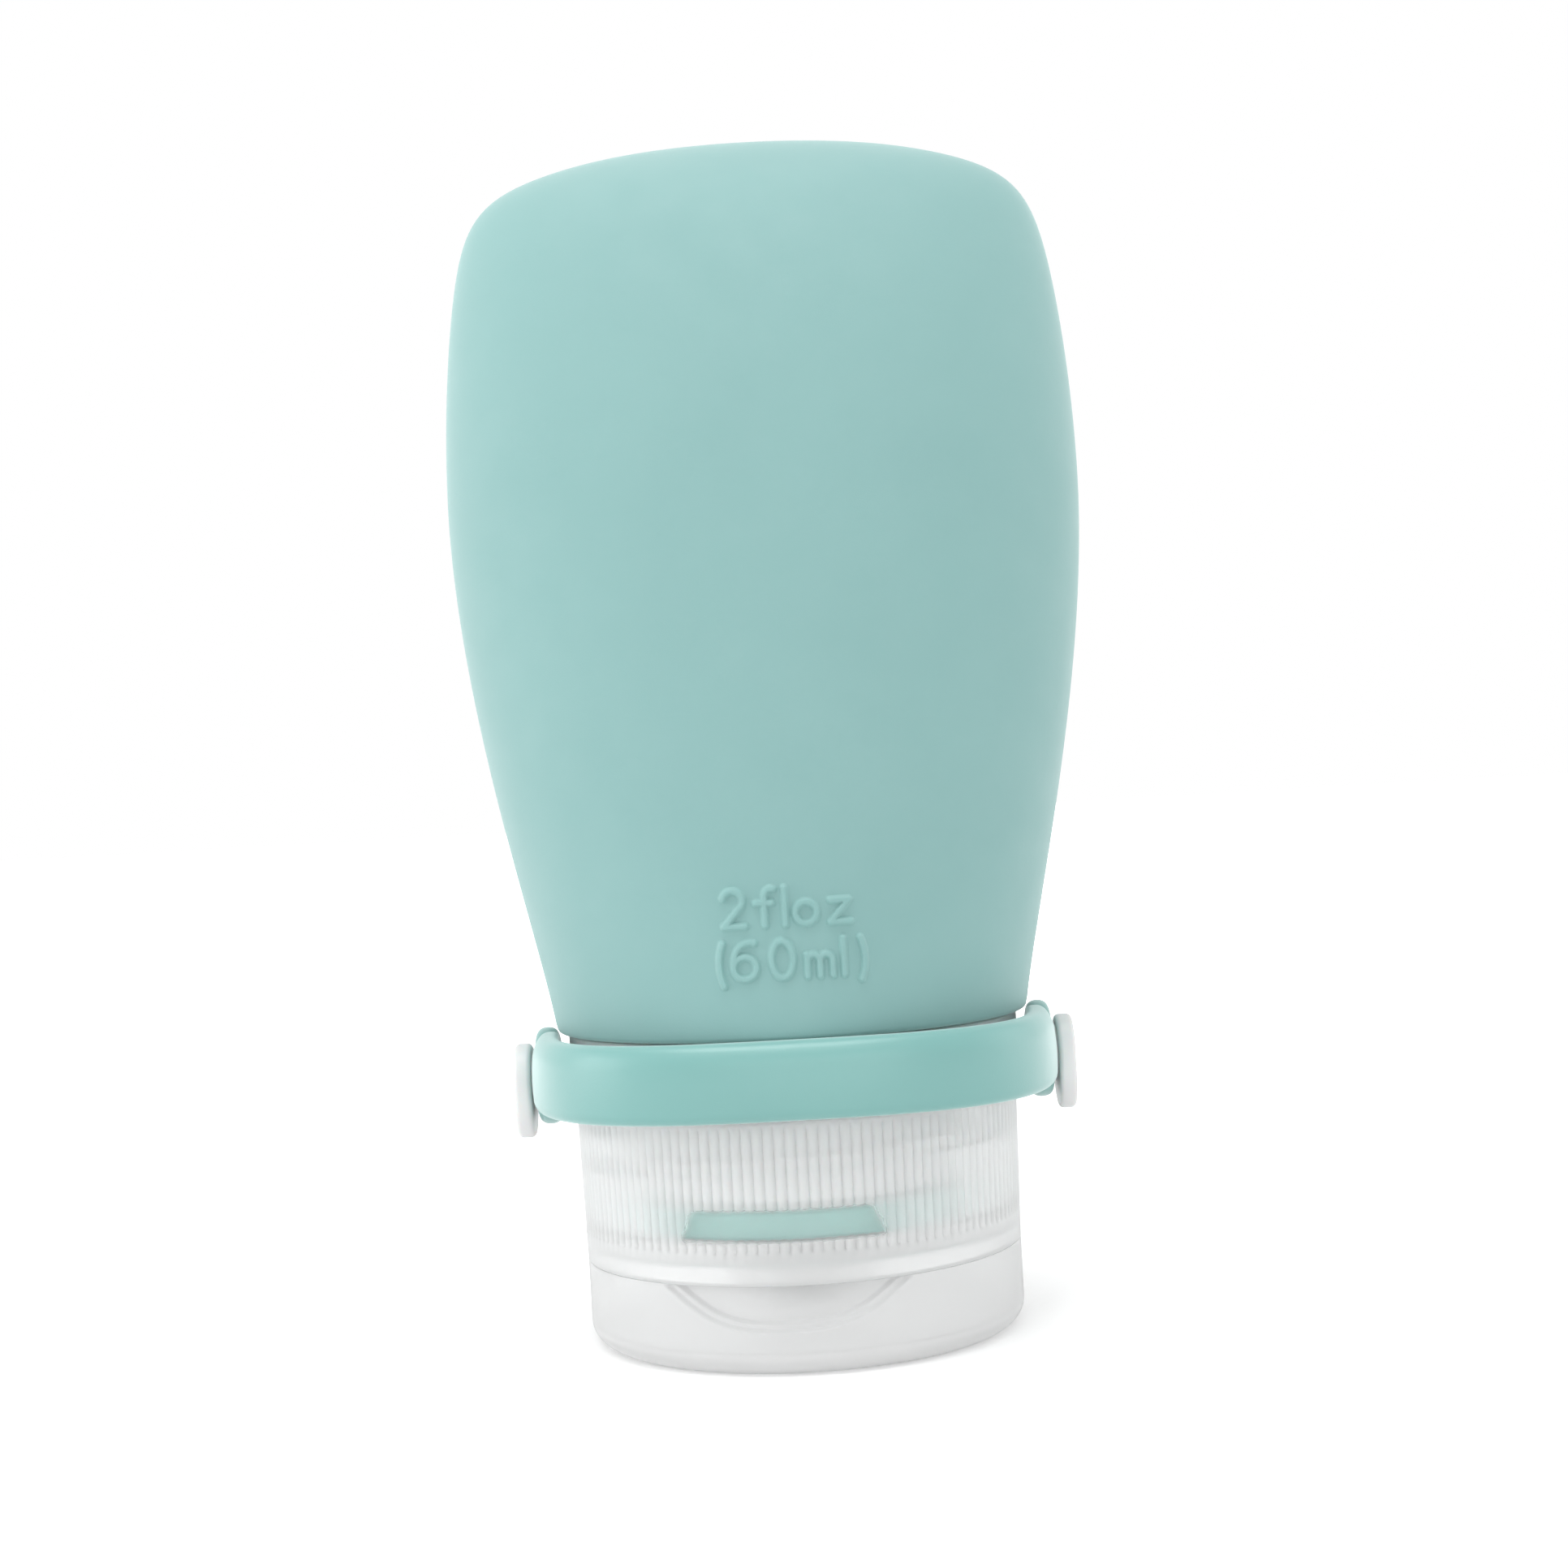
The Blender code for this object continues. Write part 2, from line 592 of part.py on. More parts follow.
def cap_core():
    """Deck across the cap, with the valve's pocket above and the nozzle below."""
    root_radius = SKIRT_INNER_RADIUS + DECK_ROOT
    profile = [
        (POCKET_RADIUS, DECK_TOP),
        (root_radius, DECK_TOP),
        (root_radius, DECK_BOTTOM),
        (NOZZLE_BASE_RADIUS, DECK_BOTTOM),
        (NOZZLE_BASE_RADIUS, POCKET_FLOOR - NOZZLE_EDGE),
        (NOZZLE_TIP_RADIUS, NOZZLE_TIP_LEVEL + NOZZLE_EDGE),
        (NOZZLE_TIP_RADIUS - NOZZLE_EDGE, NOZZLE_TIP_LEVEL),
        (NOZZLE_BORE_RADIUS, NOZZLE_TIP_LEVEL),
        (NOZZLE_BORE_RADIUS, POCKET_FLOOR),
        (POCKET_RADIUS, POCKET_FLOOR),
    ]
    return turned(profile, CAP_SEGMENT_COUNT)


def shell_block(inner_radius, outer_radius, edges, count):
    """A block that follows the cap's round wall on its front.

    edges gives the half angle's share, from -1 to 1, and returns the angle from the front and the
    lower and upper level there.
    """
    rows = []
    for share in np.linspace(-1.0, 1.0, count):
        low_angle, high_angle, low, high = edges(share)
        section = []
        for angle, level, radius in ((low_angle, low, inner_radius), (low_angle, low, outer_radius),
                                     (high_angle, high, outer_radius), (high_angle, high, inner_radius)):
            section.append((radius * math.sin(angle), -radius * math.cos(angle), level))
        rows.append(section)
    return loft(rows, first_cap=True, last_cap=True)


def window_edges(share):
    """The window is wider along its top than along its bottom, so that its ends slant."""
    low_angle = share * (WINDOW_HALF_WIDTH + WINDOW_SLANT) / SKIRT_TOP_RADIUS
    high_angle = share * WINDOW_HALF_WIDTH / SKIRT_TOP_RADIUS
    return low_angle, high_angle, WINDOW_LEVEL - WINDOW_HALF_HEIGHT, WINDOW_LEVEL + WINDOW_HALF_HEIGHT


def recess_edges(share):
    """The thumb recess hangs from the seam as a smile: deep in the middle, easing out to either side."""
    angle = share * RECESS_HALF_WIDTH / LID_RADIUS
    fall = (1.0 - abs(share) ** RECESS_CURVE_SHARE) ** RECESS_ROUND_SHARE
    return angle, angle, LID_HEIGHT - RECESS_DEPTH * fall - LID_RIM_EDGE / 2.0, LID_HEIGHT + CUT_OVERRUN


def hinge_notch(name):
    """The shallow notch across the seam in which the hinge web lies."""
    half_width = HINGE_HALF_WIDTH + FIT_GAP
    half_height = WEB_HALF_HEIGHT + FIT_GAP
    near = HINGE_RADIUS - WEB_THICKNESS / 2.0 - FIT_GAP
    form = block(half_width, near, SKIRT_TOP_RADIUS + CUT_OVERRUN, half_height)
    return new_object(name, form, None, cutter=True)


def block(half_width, near, far, half_height):
    """A plain block across the seam at the back of the cap."""
    rings = []
    for level in (SEAM_LEVEL - half_height, SEAM_LEVEL + half_height):
        rings.append([(-half_width, near, level), (half_width, near, level),
                      (half_width, far, level), (-half_width, far, level)])
    return loft(rings, first_cap=True, last_cap=True)


def cap_shell(finish, empty):
    """Ribbed skirt, deck and nozzle, one moulding, with the window and the hinge notch cut in."""
    shell = new_object("cap_shell", cap_skirt(), finish)
    core = new_object("cap_core_form", cap_core(), None, cutter=True)
    opening = shell_block(SKIRT_TOP_RADIUS - WINDOW_DEPTH, SKIRT_TOP_RADIUS + CUT_OVERRUN,
                          window_edges, WINDOW_STATION_COUNT)
    window = new_object("window_form", opening, None, cutter=True)
    notch = hinge_notch("cap_notch_form")
    boolean(shell, core, "UNION")
    boolean(shell, window, "DIFFERENCE")
    boolean(shell, notch, "DIFFERENCE")
    for thing in (shell, core, window, notch):
        hang(thing, empty)
    return shell


def flow_valve(finish, empty):
    """Silicone disc with a dome towards the nozzle. Its cross slit opens when the body is squeezed."""
    flange_top = VALVE_SEAT + VALVE_FLANGE_THICKNESS
    dome_level = VALVE_SEAT - VALVE_DOME_DEPTH
    inner_radius = VALVE_DOME_RADIUS - VALVE_WALL
    profile = [
        (SLIT_WIDTH, dome_level + VALVE_WALL),
        (inner_radius - VALVE_WALL, dome_level + VALVE_WALL),
        (inner_radius, flange_top),
        (VALVE_RADIUS, flange_top),
        (VALVE_RADIUS, VALVE_SEAT),
        (VALVE_DOME_RADIUS, VALVE_SEAT),
        (inner_radius, dome_level),
        (SLIT_WIDTH, dome_level),
    ]
    valve = new_object("flow_valve", turned(profile, VALVE_SEGMENT_COUNT, wrap=False), finish)
    hang(valve, empty)
    for name, long_x in (("slit_form_a", True), ("slit_form_b", False)):
        across, along = SLIT_LENGTH / 2.0, SLIT_WIDTH / 2.0
        half_x, half_y = (across, along) if long_x else (along, across)
        rings = []
        for level in (dome_level - CUT_OVERRUN, flange_top + CUT_OVERRUN):
            rings.append([(-half_x, -half_y, level), (half_x, -half_y, level),
                          (half_x, half_y, level), (-half_x, half_y, level)])
        slit = new_object(name, loft(rings, first_cap=True, last_cap=True), None, cutter=True)
        boolean(valve, slit, "DIFFERENCE")
        hang(slit, empty)
    return valve


def valve_retainer(finish, empty):
    """The ring that holds the valve's flange down in its pocket."""
    bore = VALVE_RADIUS - RETAINER_WIDTH
    top = RETAINER_BOTTOM + RETAINER_THICKNESS
    profile = [(bore, RETAINER_BOTTOM), (VALVE_RADIUS, RETAINER_BOTTOM), (VALVE_RADIUS, top), (bore, top)]
    ring = new_object("valve_retainer", turned(profile, VALVE_SEGMENT_COUNT), finish)
    hang(ring, empty)
    return ring


# Flip lid


def lid_cup():
    """The lid: flat face, rounded edge, even wall, and the hollow plug that shuts the nozzle.

    The face has half as many corners as the wall, so that the bottle stands on few, well-spaced points.
    """
    plug_top = NOZZLE_TIP_LEVEL + PLUG_REACH
    plug_bore = PLUG_RADIUS - PLUG_WALL
    inner = LID_RADIUS - LID_WALL
    profile = arc((LID_RADIUS - LID_ROUND, LID_ROUND), LID_ROUND, -90.0, 0.0, LID_ARC_COUNT)[1:]
    profile += [(LID_RADIUS, LID_HEIGHT - LID_RIM_EDGE), (LID_RADIUS - LID_RIM_EDGE, LID_HEIGHT),
                (inner, LID_HEIGHT)]
    profile += arc((inner - LID_INNER_ROUND, LID_FLOOR + LID_INNER_ROUND), LID_INNER_ROUND, 0.0, -90.0, 3)
    profile += [(PLUG_RADIUS, LID_FLOOR), (PLUG_RADIUS, plug_top), (plug_bore, plug_top),
                (plug_bore, LID_FLOOR), (plug_bore / 2.0, LID_FLOOR)]
    mesh = loft([circle(radius, level, CAP_SEGMENT_COUNT) for radius, level in profile], last_cap=True)
    mesh.verts.ensure_lookup_table()
    edge = mesh.verts[:CAP_SEGMENT_COUNT]
    face = add_rows(mesh, [circle(LID_RADIUS - LID_ROUND, 0.0, CAP_SEGMENT_COUNT // 2)])[0]
    fan_bridge(mesh, edge, face)
    mesh.faces.new(face)
    return mesh


def flip_lid(finish, empty):
    """The lid with its thumb recess at the front and the hinge notch at the back."""
    lid = new_object("flip_lid", lid_cup(), finish)
    pocket = shell_block(LID_RADIUS - RECESS_CUT, SKIRT_TOP_RADIUS + CUT_OVERRUN,
                         recess_edges, RECESS_STATION_COUNT)
    recess = new_object("recess_form", pocket, None, cutter=True)
    notch = hinge_notch("lid_notch_form")
    boolean(lid, recess, "DIFFERENCE")
    boolean(lid, notch, "DIFFERENCE")
    for thing in (lid, recess, notch):
        hang(thing, empty)
    return lid


def hinge_web(finish, empty):
    """The thin web of the living hinge, which bends on the seam."""
    near = HINGE_RADIUS - WEB_THICKNESS / 2.0
    strip = block(HINGE_HALF_WIDTH, near, near + WEB_THICKNESS, WEB_HALF_HEIGHT)
    web = new_object("hinge_web", strip, finish)
    hang(web, empty)
    return web


def build():
    """Makes every piece and its joint axes, and prints the bottle's main measures."""
    clear_scene()
    silicone = material("mint_silicone", (0.32, 0.59, 0.57), 0.55)
    frosted = material("frosted_plastic", (0.86, 0.88, 0.88), 0.35, 0.6)
    white = material("milky_plastic", (0.80, 0.82, 0.82), 0.40, 0.2)
    valve_silicone = material("clear_silicone", (0.85, 0.86, 0.85), 0.50, 0.4)

    clocking = math.radians(CAP_CLOCKING_DEGREES)
    cap_axis = axis_empty("cap_turn_axis", (0.0, 0.0, 0.0), turn=clocking)
    lid_axis = axis_empty("lid_hinge_axis", (0.0, HINGE_RADIUS, SEAM_LEVEL), parent=cap_axis)
    strap_axis = axis_empty("strap_swing_axis", (0.0, 0.0, POST_LEVEL))

    squeeze_body(silicone)
    neck_collar(white)
    strap("left_strap_eye", "right_strap_eye", "strap_band", silicone, strap_axis)
    cap_shell(frosted, cap_axis)
    flow_valve(valve_silicone, cap_axis)
    valve_retainer(white, cap_axis)
    hinge_web(frosted, cap_axis)
    flip_lid(frosted, lid_axis)

    print("overall height", BODY_TOP_LEVEL)
    print("cap travel to clear the neck", CLEARING_TURN_COUNT * THREAD_LEAD)


build()
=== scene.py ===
# %% [markdown]
# # A soft travel bottle that stands on its lid
#
# The bottle is a mint silicone bulb. It is squeezed, and what it holds comes out through a flip cap of
# frosted plastic. The measured CAD model is loaded first and never changed.

# %% Load the measured frame
import math

import bmesh
import bpy
import mathutils
import numpy as np
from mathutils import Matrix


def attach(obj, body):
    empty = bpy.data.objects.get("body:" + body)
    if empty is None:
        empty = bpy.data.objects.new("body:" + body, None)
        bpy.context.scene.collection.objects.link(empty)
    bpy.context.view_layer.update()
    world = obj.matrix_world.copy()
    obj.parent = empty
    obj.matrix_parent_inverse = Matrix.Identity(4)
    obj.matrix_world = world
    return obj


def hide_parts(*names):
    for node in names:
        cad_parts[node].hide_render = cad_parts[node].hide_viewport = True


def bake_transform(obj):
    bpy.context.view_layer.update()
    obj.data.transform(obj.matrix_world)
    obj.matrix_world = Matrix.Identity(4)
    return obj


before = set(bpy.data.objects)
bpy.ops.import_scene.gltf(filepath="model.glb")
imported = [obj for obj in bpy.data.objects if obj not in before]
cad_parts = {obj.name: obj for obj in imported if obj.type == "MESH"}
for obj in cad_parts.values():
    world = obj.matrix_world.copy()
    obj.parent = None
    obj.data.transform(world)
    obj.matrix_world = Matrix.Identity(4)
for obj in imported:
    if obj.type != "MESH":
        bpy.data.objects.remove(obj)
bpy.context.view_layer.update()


# %% [markdown]
# ## Skinning a grid of points
#
# Nearly every piece here is turned, moulded or swept, so it can be written as a grid: rows follow a profile
# and columns go round. Blender could spin or loft such shapes with its own tools. Working the points out
# with numpy keeps every wall a formula, so a rib, a window or a raised letter is one more term added to the
# radius.

# %% A grid becomes a closed mesh
FULL_TURN = 2.0 * math.pi
CREASE, MOULDED_CREASE = 40.0, 35.0


def grid_faces(index):
    """The four-sided faces of a grid of vertex numbers: each number, the one beside it, and the two above."""
    corners = (index[:-1, :-1], index[:-1, 1:], index[1:, 1:], index[1:, :-1])
    return np.stack(corners, axis=-1).reshape(-1, 4).tolist()


def fan_faces(ring, pole, flip):
    """The triangles between a closed ring of vertex numbers and one pole."""
    after = np.roll(ring, -1)
    first, second = (after, ring) if flip else (ring, after)
    return np.column_stack((first, second, np.full(len(ring), pole))).tolist()


def shade(mesh, crease=CREASE):
    """Shades a mesh smooth, but keeps each edge sharp that turns by more than the crease, in degrees."""
    mesh.shade_smooth()
    mesh.set_sharp_from_angle(angle=math.radians(crease))


def make_object(name, points, faces, crease=CREASE):
    """Puts points and faces into an object, turned so that its faces look outwards."""
    mesh = bpy.data.meshes.new(name)
    mesh.from_pydata(np.asarray(points).tolist(), [], faces)
    work = bmesh.new()
    work.from_mesh(mesh)
    if work.calc_volume(signed=True) < 0.0:
        bmesh.ops.reverse_faces(work, faces=work.faces)
    work.to_mesh(mesh)
    work.free()
    shade(mesh, crease)
    thing = bpy.data.objects.new(name, mesh)
    bpy.context.scene.collection.objects.link(thing)
    return thing


def skin(name, grid, ring=False, poles=None, crease=CREASE):
    """Skins a grid of rows by columns by xyz. Its columns always close on themselves.

    A ring closes its rows too, and otherwise two poles close its first and last row.
    """
    rows, columns = grid.shape[:2]
    index = np.arange(rows * columns).reshape(rows, columns)
    around = np.hstack((index, index[:, :1]))
    faces = grid_faces(np.vstack((around, around[:1])) if ring else around)
    points = grid.reshape(-1, 3)
    if poles is not None:
        points = np.vstack((points, poles))
        faces += fan_faces(index[0], rows * columns, True) + fan_faces(index[-1], rows * columns + 1, False)
    thing = make_object(name, points, faces, crease)
    print(name, "has", len(thing.data.polygons), "faces")
    return thing


# %% Profiles, turning and soft steps
def rounded(corners, rounding, steps=4):
    """A closed profile with each corner eased.

    At a corner c the curve leaves one side at point a and meets the next at point b, and between them it is
    (1-t)^2 a + 2t(1-t) c + t^2 b, a parabola that touches both sides.
    """
    corners = np.array(corners, float)
    rounding = np.broadcast_to(rounding, len(corners))[:, None]
    before, after = np.roll(corners, 1, axis=0) - corners, np.roll(corners, -1, axis=0) - corners
    start = corners + before / np.linalg.norm(before, axis=1, keepdims=True) * rounding
    end = corners + after / np.linalg.norm(after, axis=1, keepdims=True) * rounding
    t = np.linspace(0.0, 1.0, steps)[None, :, None]
    curve = (1 - t) ** 2 * start[:, None] + 2 * t * (1 - t) * corners[:, None] + t ** 2 * end[:, None]
    return curve.reshape(-1, 2)


def divided(profile, longest):
    """The same closed profile with points added, so that no step along it is longer than given."""
    after = np.roll(profile, -1, axis=0)
    counts = np.maximum(1, np.ceil(np.linalg.norm(after - profile, axis=1) / longest)).astype(int)
    source = np.repeat(np.arange(len(profile)), counts)
    share = (np.arange(len(source)) - np.repeat(np.cumsum(counts) - counts, counts)) / counts[source]
    return profile[source] + share[:, None] * (after[source] - profile[source])


def divided_open(profile, longest):
    """The same for an open profile: the points on the side that would close it are dropped again."""
    closing = int(np.ceil(np.linalg.norm(profile[0] - profile[-1]) / longest))
    points = divided(profile, longest)
    return points[:len(points) - closing + 1]


def turned(radius, level, turn):
    """Points at each radius and level, carried round the bottle's axis: x = r cos(turn), y = r sin(turn)."""
    radius, level, turn = np.broadcast_arrays(radius, level, turn)
    return np.stack((radius * np.cos(turn), radius * np.sin(turn), level), axis=-1)


def soft_step(value):
    """0 below 0, 1 above 1, and between them the smooth rise 3v^2 - 2v^3."""
    value = np.clip(value, 0.0, 1.0)
    return value * value * (3.0 - 2.0 * value)


def from_front(turn):
    """The angle from the bottle's front, which is turn -90 degrees, between -180 and 180 degrees."""
    return (turn + 0.75 * FULL_TURN) % FULL_TURN - 0.5 * FULL_TURN


# %% [markdown]
# ## The bulb's outline
#
# Seen from the front the bulb swells from a round shoulder to its widest level, then tapers a little and
# turns in round a tight corner. From the side it thins steadily to a soft ridge, as a moulded pouch does.
# Sculpting could give this, but four short formulas give every level its own oval, and both views then stay
# true to the measures.

# %% Ovals of the bulb
SHOULDER, WIDEST, CROWN = 0.0254, 0.0680, 0.0971
SHOULDER_RADIUS, WIDEST_HALF, RIDGE_HALF = 0.0192, 0.02575, 0.0080
CROWN_DROP, WALL = 0.0003, 0.0017
FLANK_RISE, FLANK_EASE, END_TAPER, END_CORNER = 1.2, 1.85, 0.14, 11
DEPTH_FALL, SECTION_FILL, SHORT_OF_POLE = 2.5, 0.35, 0.002


def half_width(level, inset):
    """Half the bulb's width at a level.

    Up to the widest level it eases out as 1 - (1 - u^1.2)^1.85. Above it, it is the ridge's half width plus
    the rest times sqrt(1 - t^11), where the rest shrinks by 0.14 t^2.
    """
    u = np.clip((level - SHOULDER) / (WIDEST - SHOULDER), 0.0, 1.0)
    swell = SHOULDER_RADIUS + (WIDEST_HALF - SHOULDER_RADIUS) * (1.0 - (1.0 - u ** FLANK_RISE) ** FLANK_EASE)
    t = np.clip((level - WIDEST) / (CROWN - inset - WIDEST), 0.0, 1.0)
    flank = WIDEST_HALF * (1.0 - END_TAPER * t ** 2) - inset - RIDGE_HALF
    return np.where(level < WIDEST, swell - inset, RIDGE_HALF + flank * np.sqrt(1.0 - t ** END_CORNER))


def bulb_oval(level, inset, turn):
    """Ovals of the bulb at a column of levels: |x/a|^n + |y/b|^n = 1, with n growing from 2 to 2.35 upwards.

    The half depth b falls as sqrt(1 - v^2.5) towards the crown, which also sags a little to either side.
    """
    v = (level - SHOULDER) / (CROWN - inset - SHOULDER)
    power = 2.0 / (2.0 + SECTION_FILL * v)
    x = half_width(level, inset) * np.sign(np.cos(turn)) * np.abs(np.cos(turn)) ** power
    y = (SHOULDER_RADIUS - inset) * np.sqrt(1.0 - v ** DEPTH_FALL)
    y = y * np.sign(np.sin(turn)) * np.abs(np.sin(turn)) ** power
    t = np.clip((level - WIDEST) / (CROWN - inset - WIDEST), 0.0, 1.0)
    return np.stack((x, y, level - CROWN_DROP * t ** END_CORNER * (x / RIDGE_HALF) ** 2), axis=-1)


def crown_levels(count, inset):
    """Levels from the widest one to the crown, closer and closer.

    v = (1 - d^2)^(1/2.5), where d is the cosine of an angle that grows in even steps.
    """
    top = CROWN - inset
    start = math.acos(math.sqrt(1.0 - ((WIDEST - SHOULDER) / (top - SHOULDER)) ** DEPTH_FALL))
    angle = np.linspace(start, 0.25 * FULL_TURN - SHORT_OF_POLE, count + 1)[1:]
    return SHOULDER + (top - SHOULDER) * (1.0 - np.cos(angle) ** 2) ** (1.0 / DEPTH_FALL)


print("widest half width in mm:", 1000 * float(half_width(np.array(WIDEST), 0.0)))

# %% [markdown]
# ## Capacity marks
#
# The mould has the capacity cut into it, so the letters stand up in the same silicone, tone on tone. Text
# objects would sit on the surface as separate solids. Instead each letter is drawn here as a few pen
# strokes, the distance from every point of the skin to the nearest stroke is worked out, and the skin rises
# where it is small.

# %% Pen strokes for the marks
LETTER_HEIGHT, LETTER_MIDDLE = 0.00278, 0.49
UPPER_LINE, LOWER_LINE = 0.03544, 0.0315
STROKE_HALF, STROKE_EASE, STROKE_RISE = 0.00011, 0.00026, 0.00030


def bow(x, y, across, up, start, end, count):
    """Points of an arc of an ellipse, angles in degrees."""
    turn = np.radians(np.linspace(start, end, count))
    return np.column_stack((x + across * np.cos(turn), y + up * np.sin(turn)))


def pen(*points):
    """A polyline through the points, in letter heights."""
    return np.array(points, float)


def hump(x):
    """One arch of a small m."""
    return np.vstack((bow(x + 0.17, 0.40, 0.17, 0.18, 180.0, 0.0, 9), pen((x + 0.34, 0.0))))


LETTERS = {
    "2": [np.vstack((bow(0.27, 0.69, 0.27, 0.27, 165.0, -35.0, 16), pen((0.02, 0.0), (0.58, 0.0))))],
    "f": [np.vstack((pen((0.25, 0.0)), bow(0.45, 0.74, 0.20, 0.24, 180.0, 75.0, 9))),
          pen((0.02, 0.60), (0.45, 0.60))],
    "l": [pen((0.0, 0.0), (0.0, 0.98))],
    "o": [bow(0.29, 0.29, 0.29, 0.29, 0.0, 360.0, 25)],
    "z": [pen((0.02, 0.58), (0.52, 0.58), (0.0, 0.0), (0.54, 0.0))],
    "(": [bow(0.62, 0.40, 0.60, 0.98, 145.0, 215.0, 9)],
    ")": [bow(-0.46, 0.40, 0.60, 0.98, -35.0, 35.0, 9)],
    "6": [np.vstack((bow(0.46, 0.42, 0.46, 0.56, 75.0, 180.0, 12),
                     bow(0.31, 0.30, 0.31, 0.30, 180.0, 540.0, 28)))],
    "0": [bow(0.29, 0.49, 0.29, 0.49, 0.0, 360.0, 32)],
    "m": [pen((0.0, 0.0), (0.0, 0.58)), hump(0.0), hump(0.34)],
}


def written(text, starts, level):
    """The strokes of one line in metres. Each start is in letter heights, measured from the bottle's axis."""
    strokes = [stroke + (x, -LETTER_MIDDLE) for letter, x in zip(text, starts) for stroke in LETTERS[letter]]
    return [stroke * LETTER_HEIGHT + (0.0, level) for stroke in strokes]


strokes = written("2floz", (-1.69, -0.82, -0.02, 0.25, 1.18), UPPER_LINE)
strokes += written("(60ml)", (-1.88, -1.48, -0.45, 0.50, 1.49, 1.92), LOWER_LINE)
segments = np.vstack([np.hstack((stroke[:-1], stroke[1:])) for stroke in strokes])
print(len(strokes), "strokes,", len(segments), "straight pieces")


def mark_rise(x, z):
    """How far the skin rises at each point: the full rise on a stroke, easing to nothing beside it."""
    here = np.stack((x, z), axis=-1)[..., None, :]
    start, along = segments[:, :2], segments[:, 2:] - segments[:, :2]
    share = np.clip(np.sum((here - start) * along, axis=-1) / np.sum(along ** 2, axis=-1), 0.0, 1.0)
    gap = np.linalg.norm(here - (start + share[..., None] * along), axis=-1).min(axis=-1)
    return STROKE_RISE * soft_step((STROKE_HALF + STROKE_EASE - gap) / STROKE_EASE)


# %% [markdown]
# ## The squeeze body
#
# One silicone moulding: bulb, shoulder, neck and the rolled lip that seals against the cap. It is one
# closed skin. The rows start at the crown, come down the outside, run along the neck and round the lip, and
# climb the inside. Rows and columns are packed close only where the marks are, so the letters are sharp and
# the rest stays light.

# %% Rows and columns of the squeeze body
NECK_RADIUS, MOUTH_RADIUS, LIP_RADIUS = 0.0134, 0.0117, 0.0159
LIP_LEVEL, LIP_TOP, LIP_ROUND = 0.0100, 0.0124, 0.0005
SHOULDER_ROUND, NECK_EASE, MOUTH_EASE = 0.0004, 0.0002, 0.0003
CLOSE_COLUMNS, WIDE_COLUMNS = 160, 156
LOW_ROWS, MIDDLE_ROWS, CROWN_ROWS, INNER_ROWS, INNER_CROWN_ROWS = 9, 24, 44, 14, 20
MARK_LOW, MARK_HIGH, MARK_STEP, MARK_HALF_ANGLE = 0.0290, 0.0376, 0.000085, math.radians(18.5)


def arc_profile(radius, level, bend, start, end, count):
    """Points (radius, level) of a round corner of a profile, angles in degrees."""
    turn = np.radians(np.linspace(start, end, count))
    return np.column_stack((radius + bend * np.cos(turn), level + bend * np.sin(turn)))


def body_columns():
    """Angles round the bottle, every 0.23 degrees across the marks and every 2 degrees elsewhere."""
    close = np.linspace(-MARK_HALF_ANGLE, MARK_HALF_ANGLE, CLOSE_COLUMNS)
    wide = np.linspace(MARK_HALF_ANGLE, FULL_TURN - MARK_HALF_ANGLE, WIDE_COLUMNS)[1:-1]
    return np.concatenate((close, wide)) - 0.25 * FULL_TURN


def body_grid():
    """The whole skin: outer ovals down, shoulder, neck, lip and bore, then inner ovals up."""
    turn = body_columns()
    marks = np.arange(MARK_LOW, MARK_HIGH, MARK_STEP)
    low = np.linspace(SHOULDER + 2.0 * SHOULDER_ROUND, MARK_LOW, LOW_ROWS)[:-1]
    middle = np.linspace(MARK_HIGH, WIDEST, MIDDLE_ROWS)
    outer_levels = np.concatenate((low, marks, middle, crown_levels(CROWN_ROWS, 0.0)))[::-1, None]
    outer = bulb_oval(outer_levels, 0.0, turn)
    busy = (outer_levels[:, 0] > MARK_LOW) & (outer_levels[:, 0] < MARK_HIGH)
    front = np.abs(from_front(turn)) < MARK_HALF_ANGLE
    patch = np.ix_(busy, front)
    outer[..., 1][patch] -= mark_rise(outer[..., 0][patch], outer[..., 2][patch])
    lip = LIP_RADIUS - LIP_ROUND
    bend = SHOULDER_ROUND
    profile = np.vstack((
        arc_profile(SHOULDER_RADIUS - bend, SHOULDER + bend, bend, 0.0, -90.0, 7),
        [(NECK_RADIUS + NECK_EASE, SHOULDER), (NECK_RADIUS, SHOULDER - NECK_EASE),
         (NECK_RADIUS, LIP_TOP + NECK_EASE), (NECK_RADIUS + NECK_EASE, LIP_TOP)],
        arc_profile(lip, LIP_TOP - LIP_ROUND, LIP_ROUND, 90.0, 0.0, 6),
        arc_profile(lip, LIP_LEVEL + LIP_ROUND, LIP_ROUND, 0.0, -90.0, 6),
        [(MOUTH_RADIUS + MOUTH_EASE, LIP_LEVEL), (MOUTH_RADIUS, LIP_LEVEL + MOUTH_EASE),
         (MOUTH_RADIUS, SHOULDER)]))
    neck = turned(profile[:, :1], profile[:, 1:], turn)
    rise = np.linspace(SHOULDER + 2.0 * WALL, WIDEST, INNER_ROWS)
    rise = np.concatenate((rise, crown_levels(INNER_CROWN_ROWS, WALL)))[:, None]
    return np.vstack((outer, neck, bulb_oval(rise, WALL, turn)))


body = skin("soft_bulb", body_grid(), poles=[(0.0, 0.0, CROWN), (0.0, 0.0, CROWN - WALL)])
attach(body, "bottle")
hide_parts("squeeze_body")

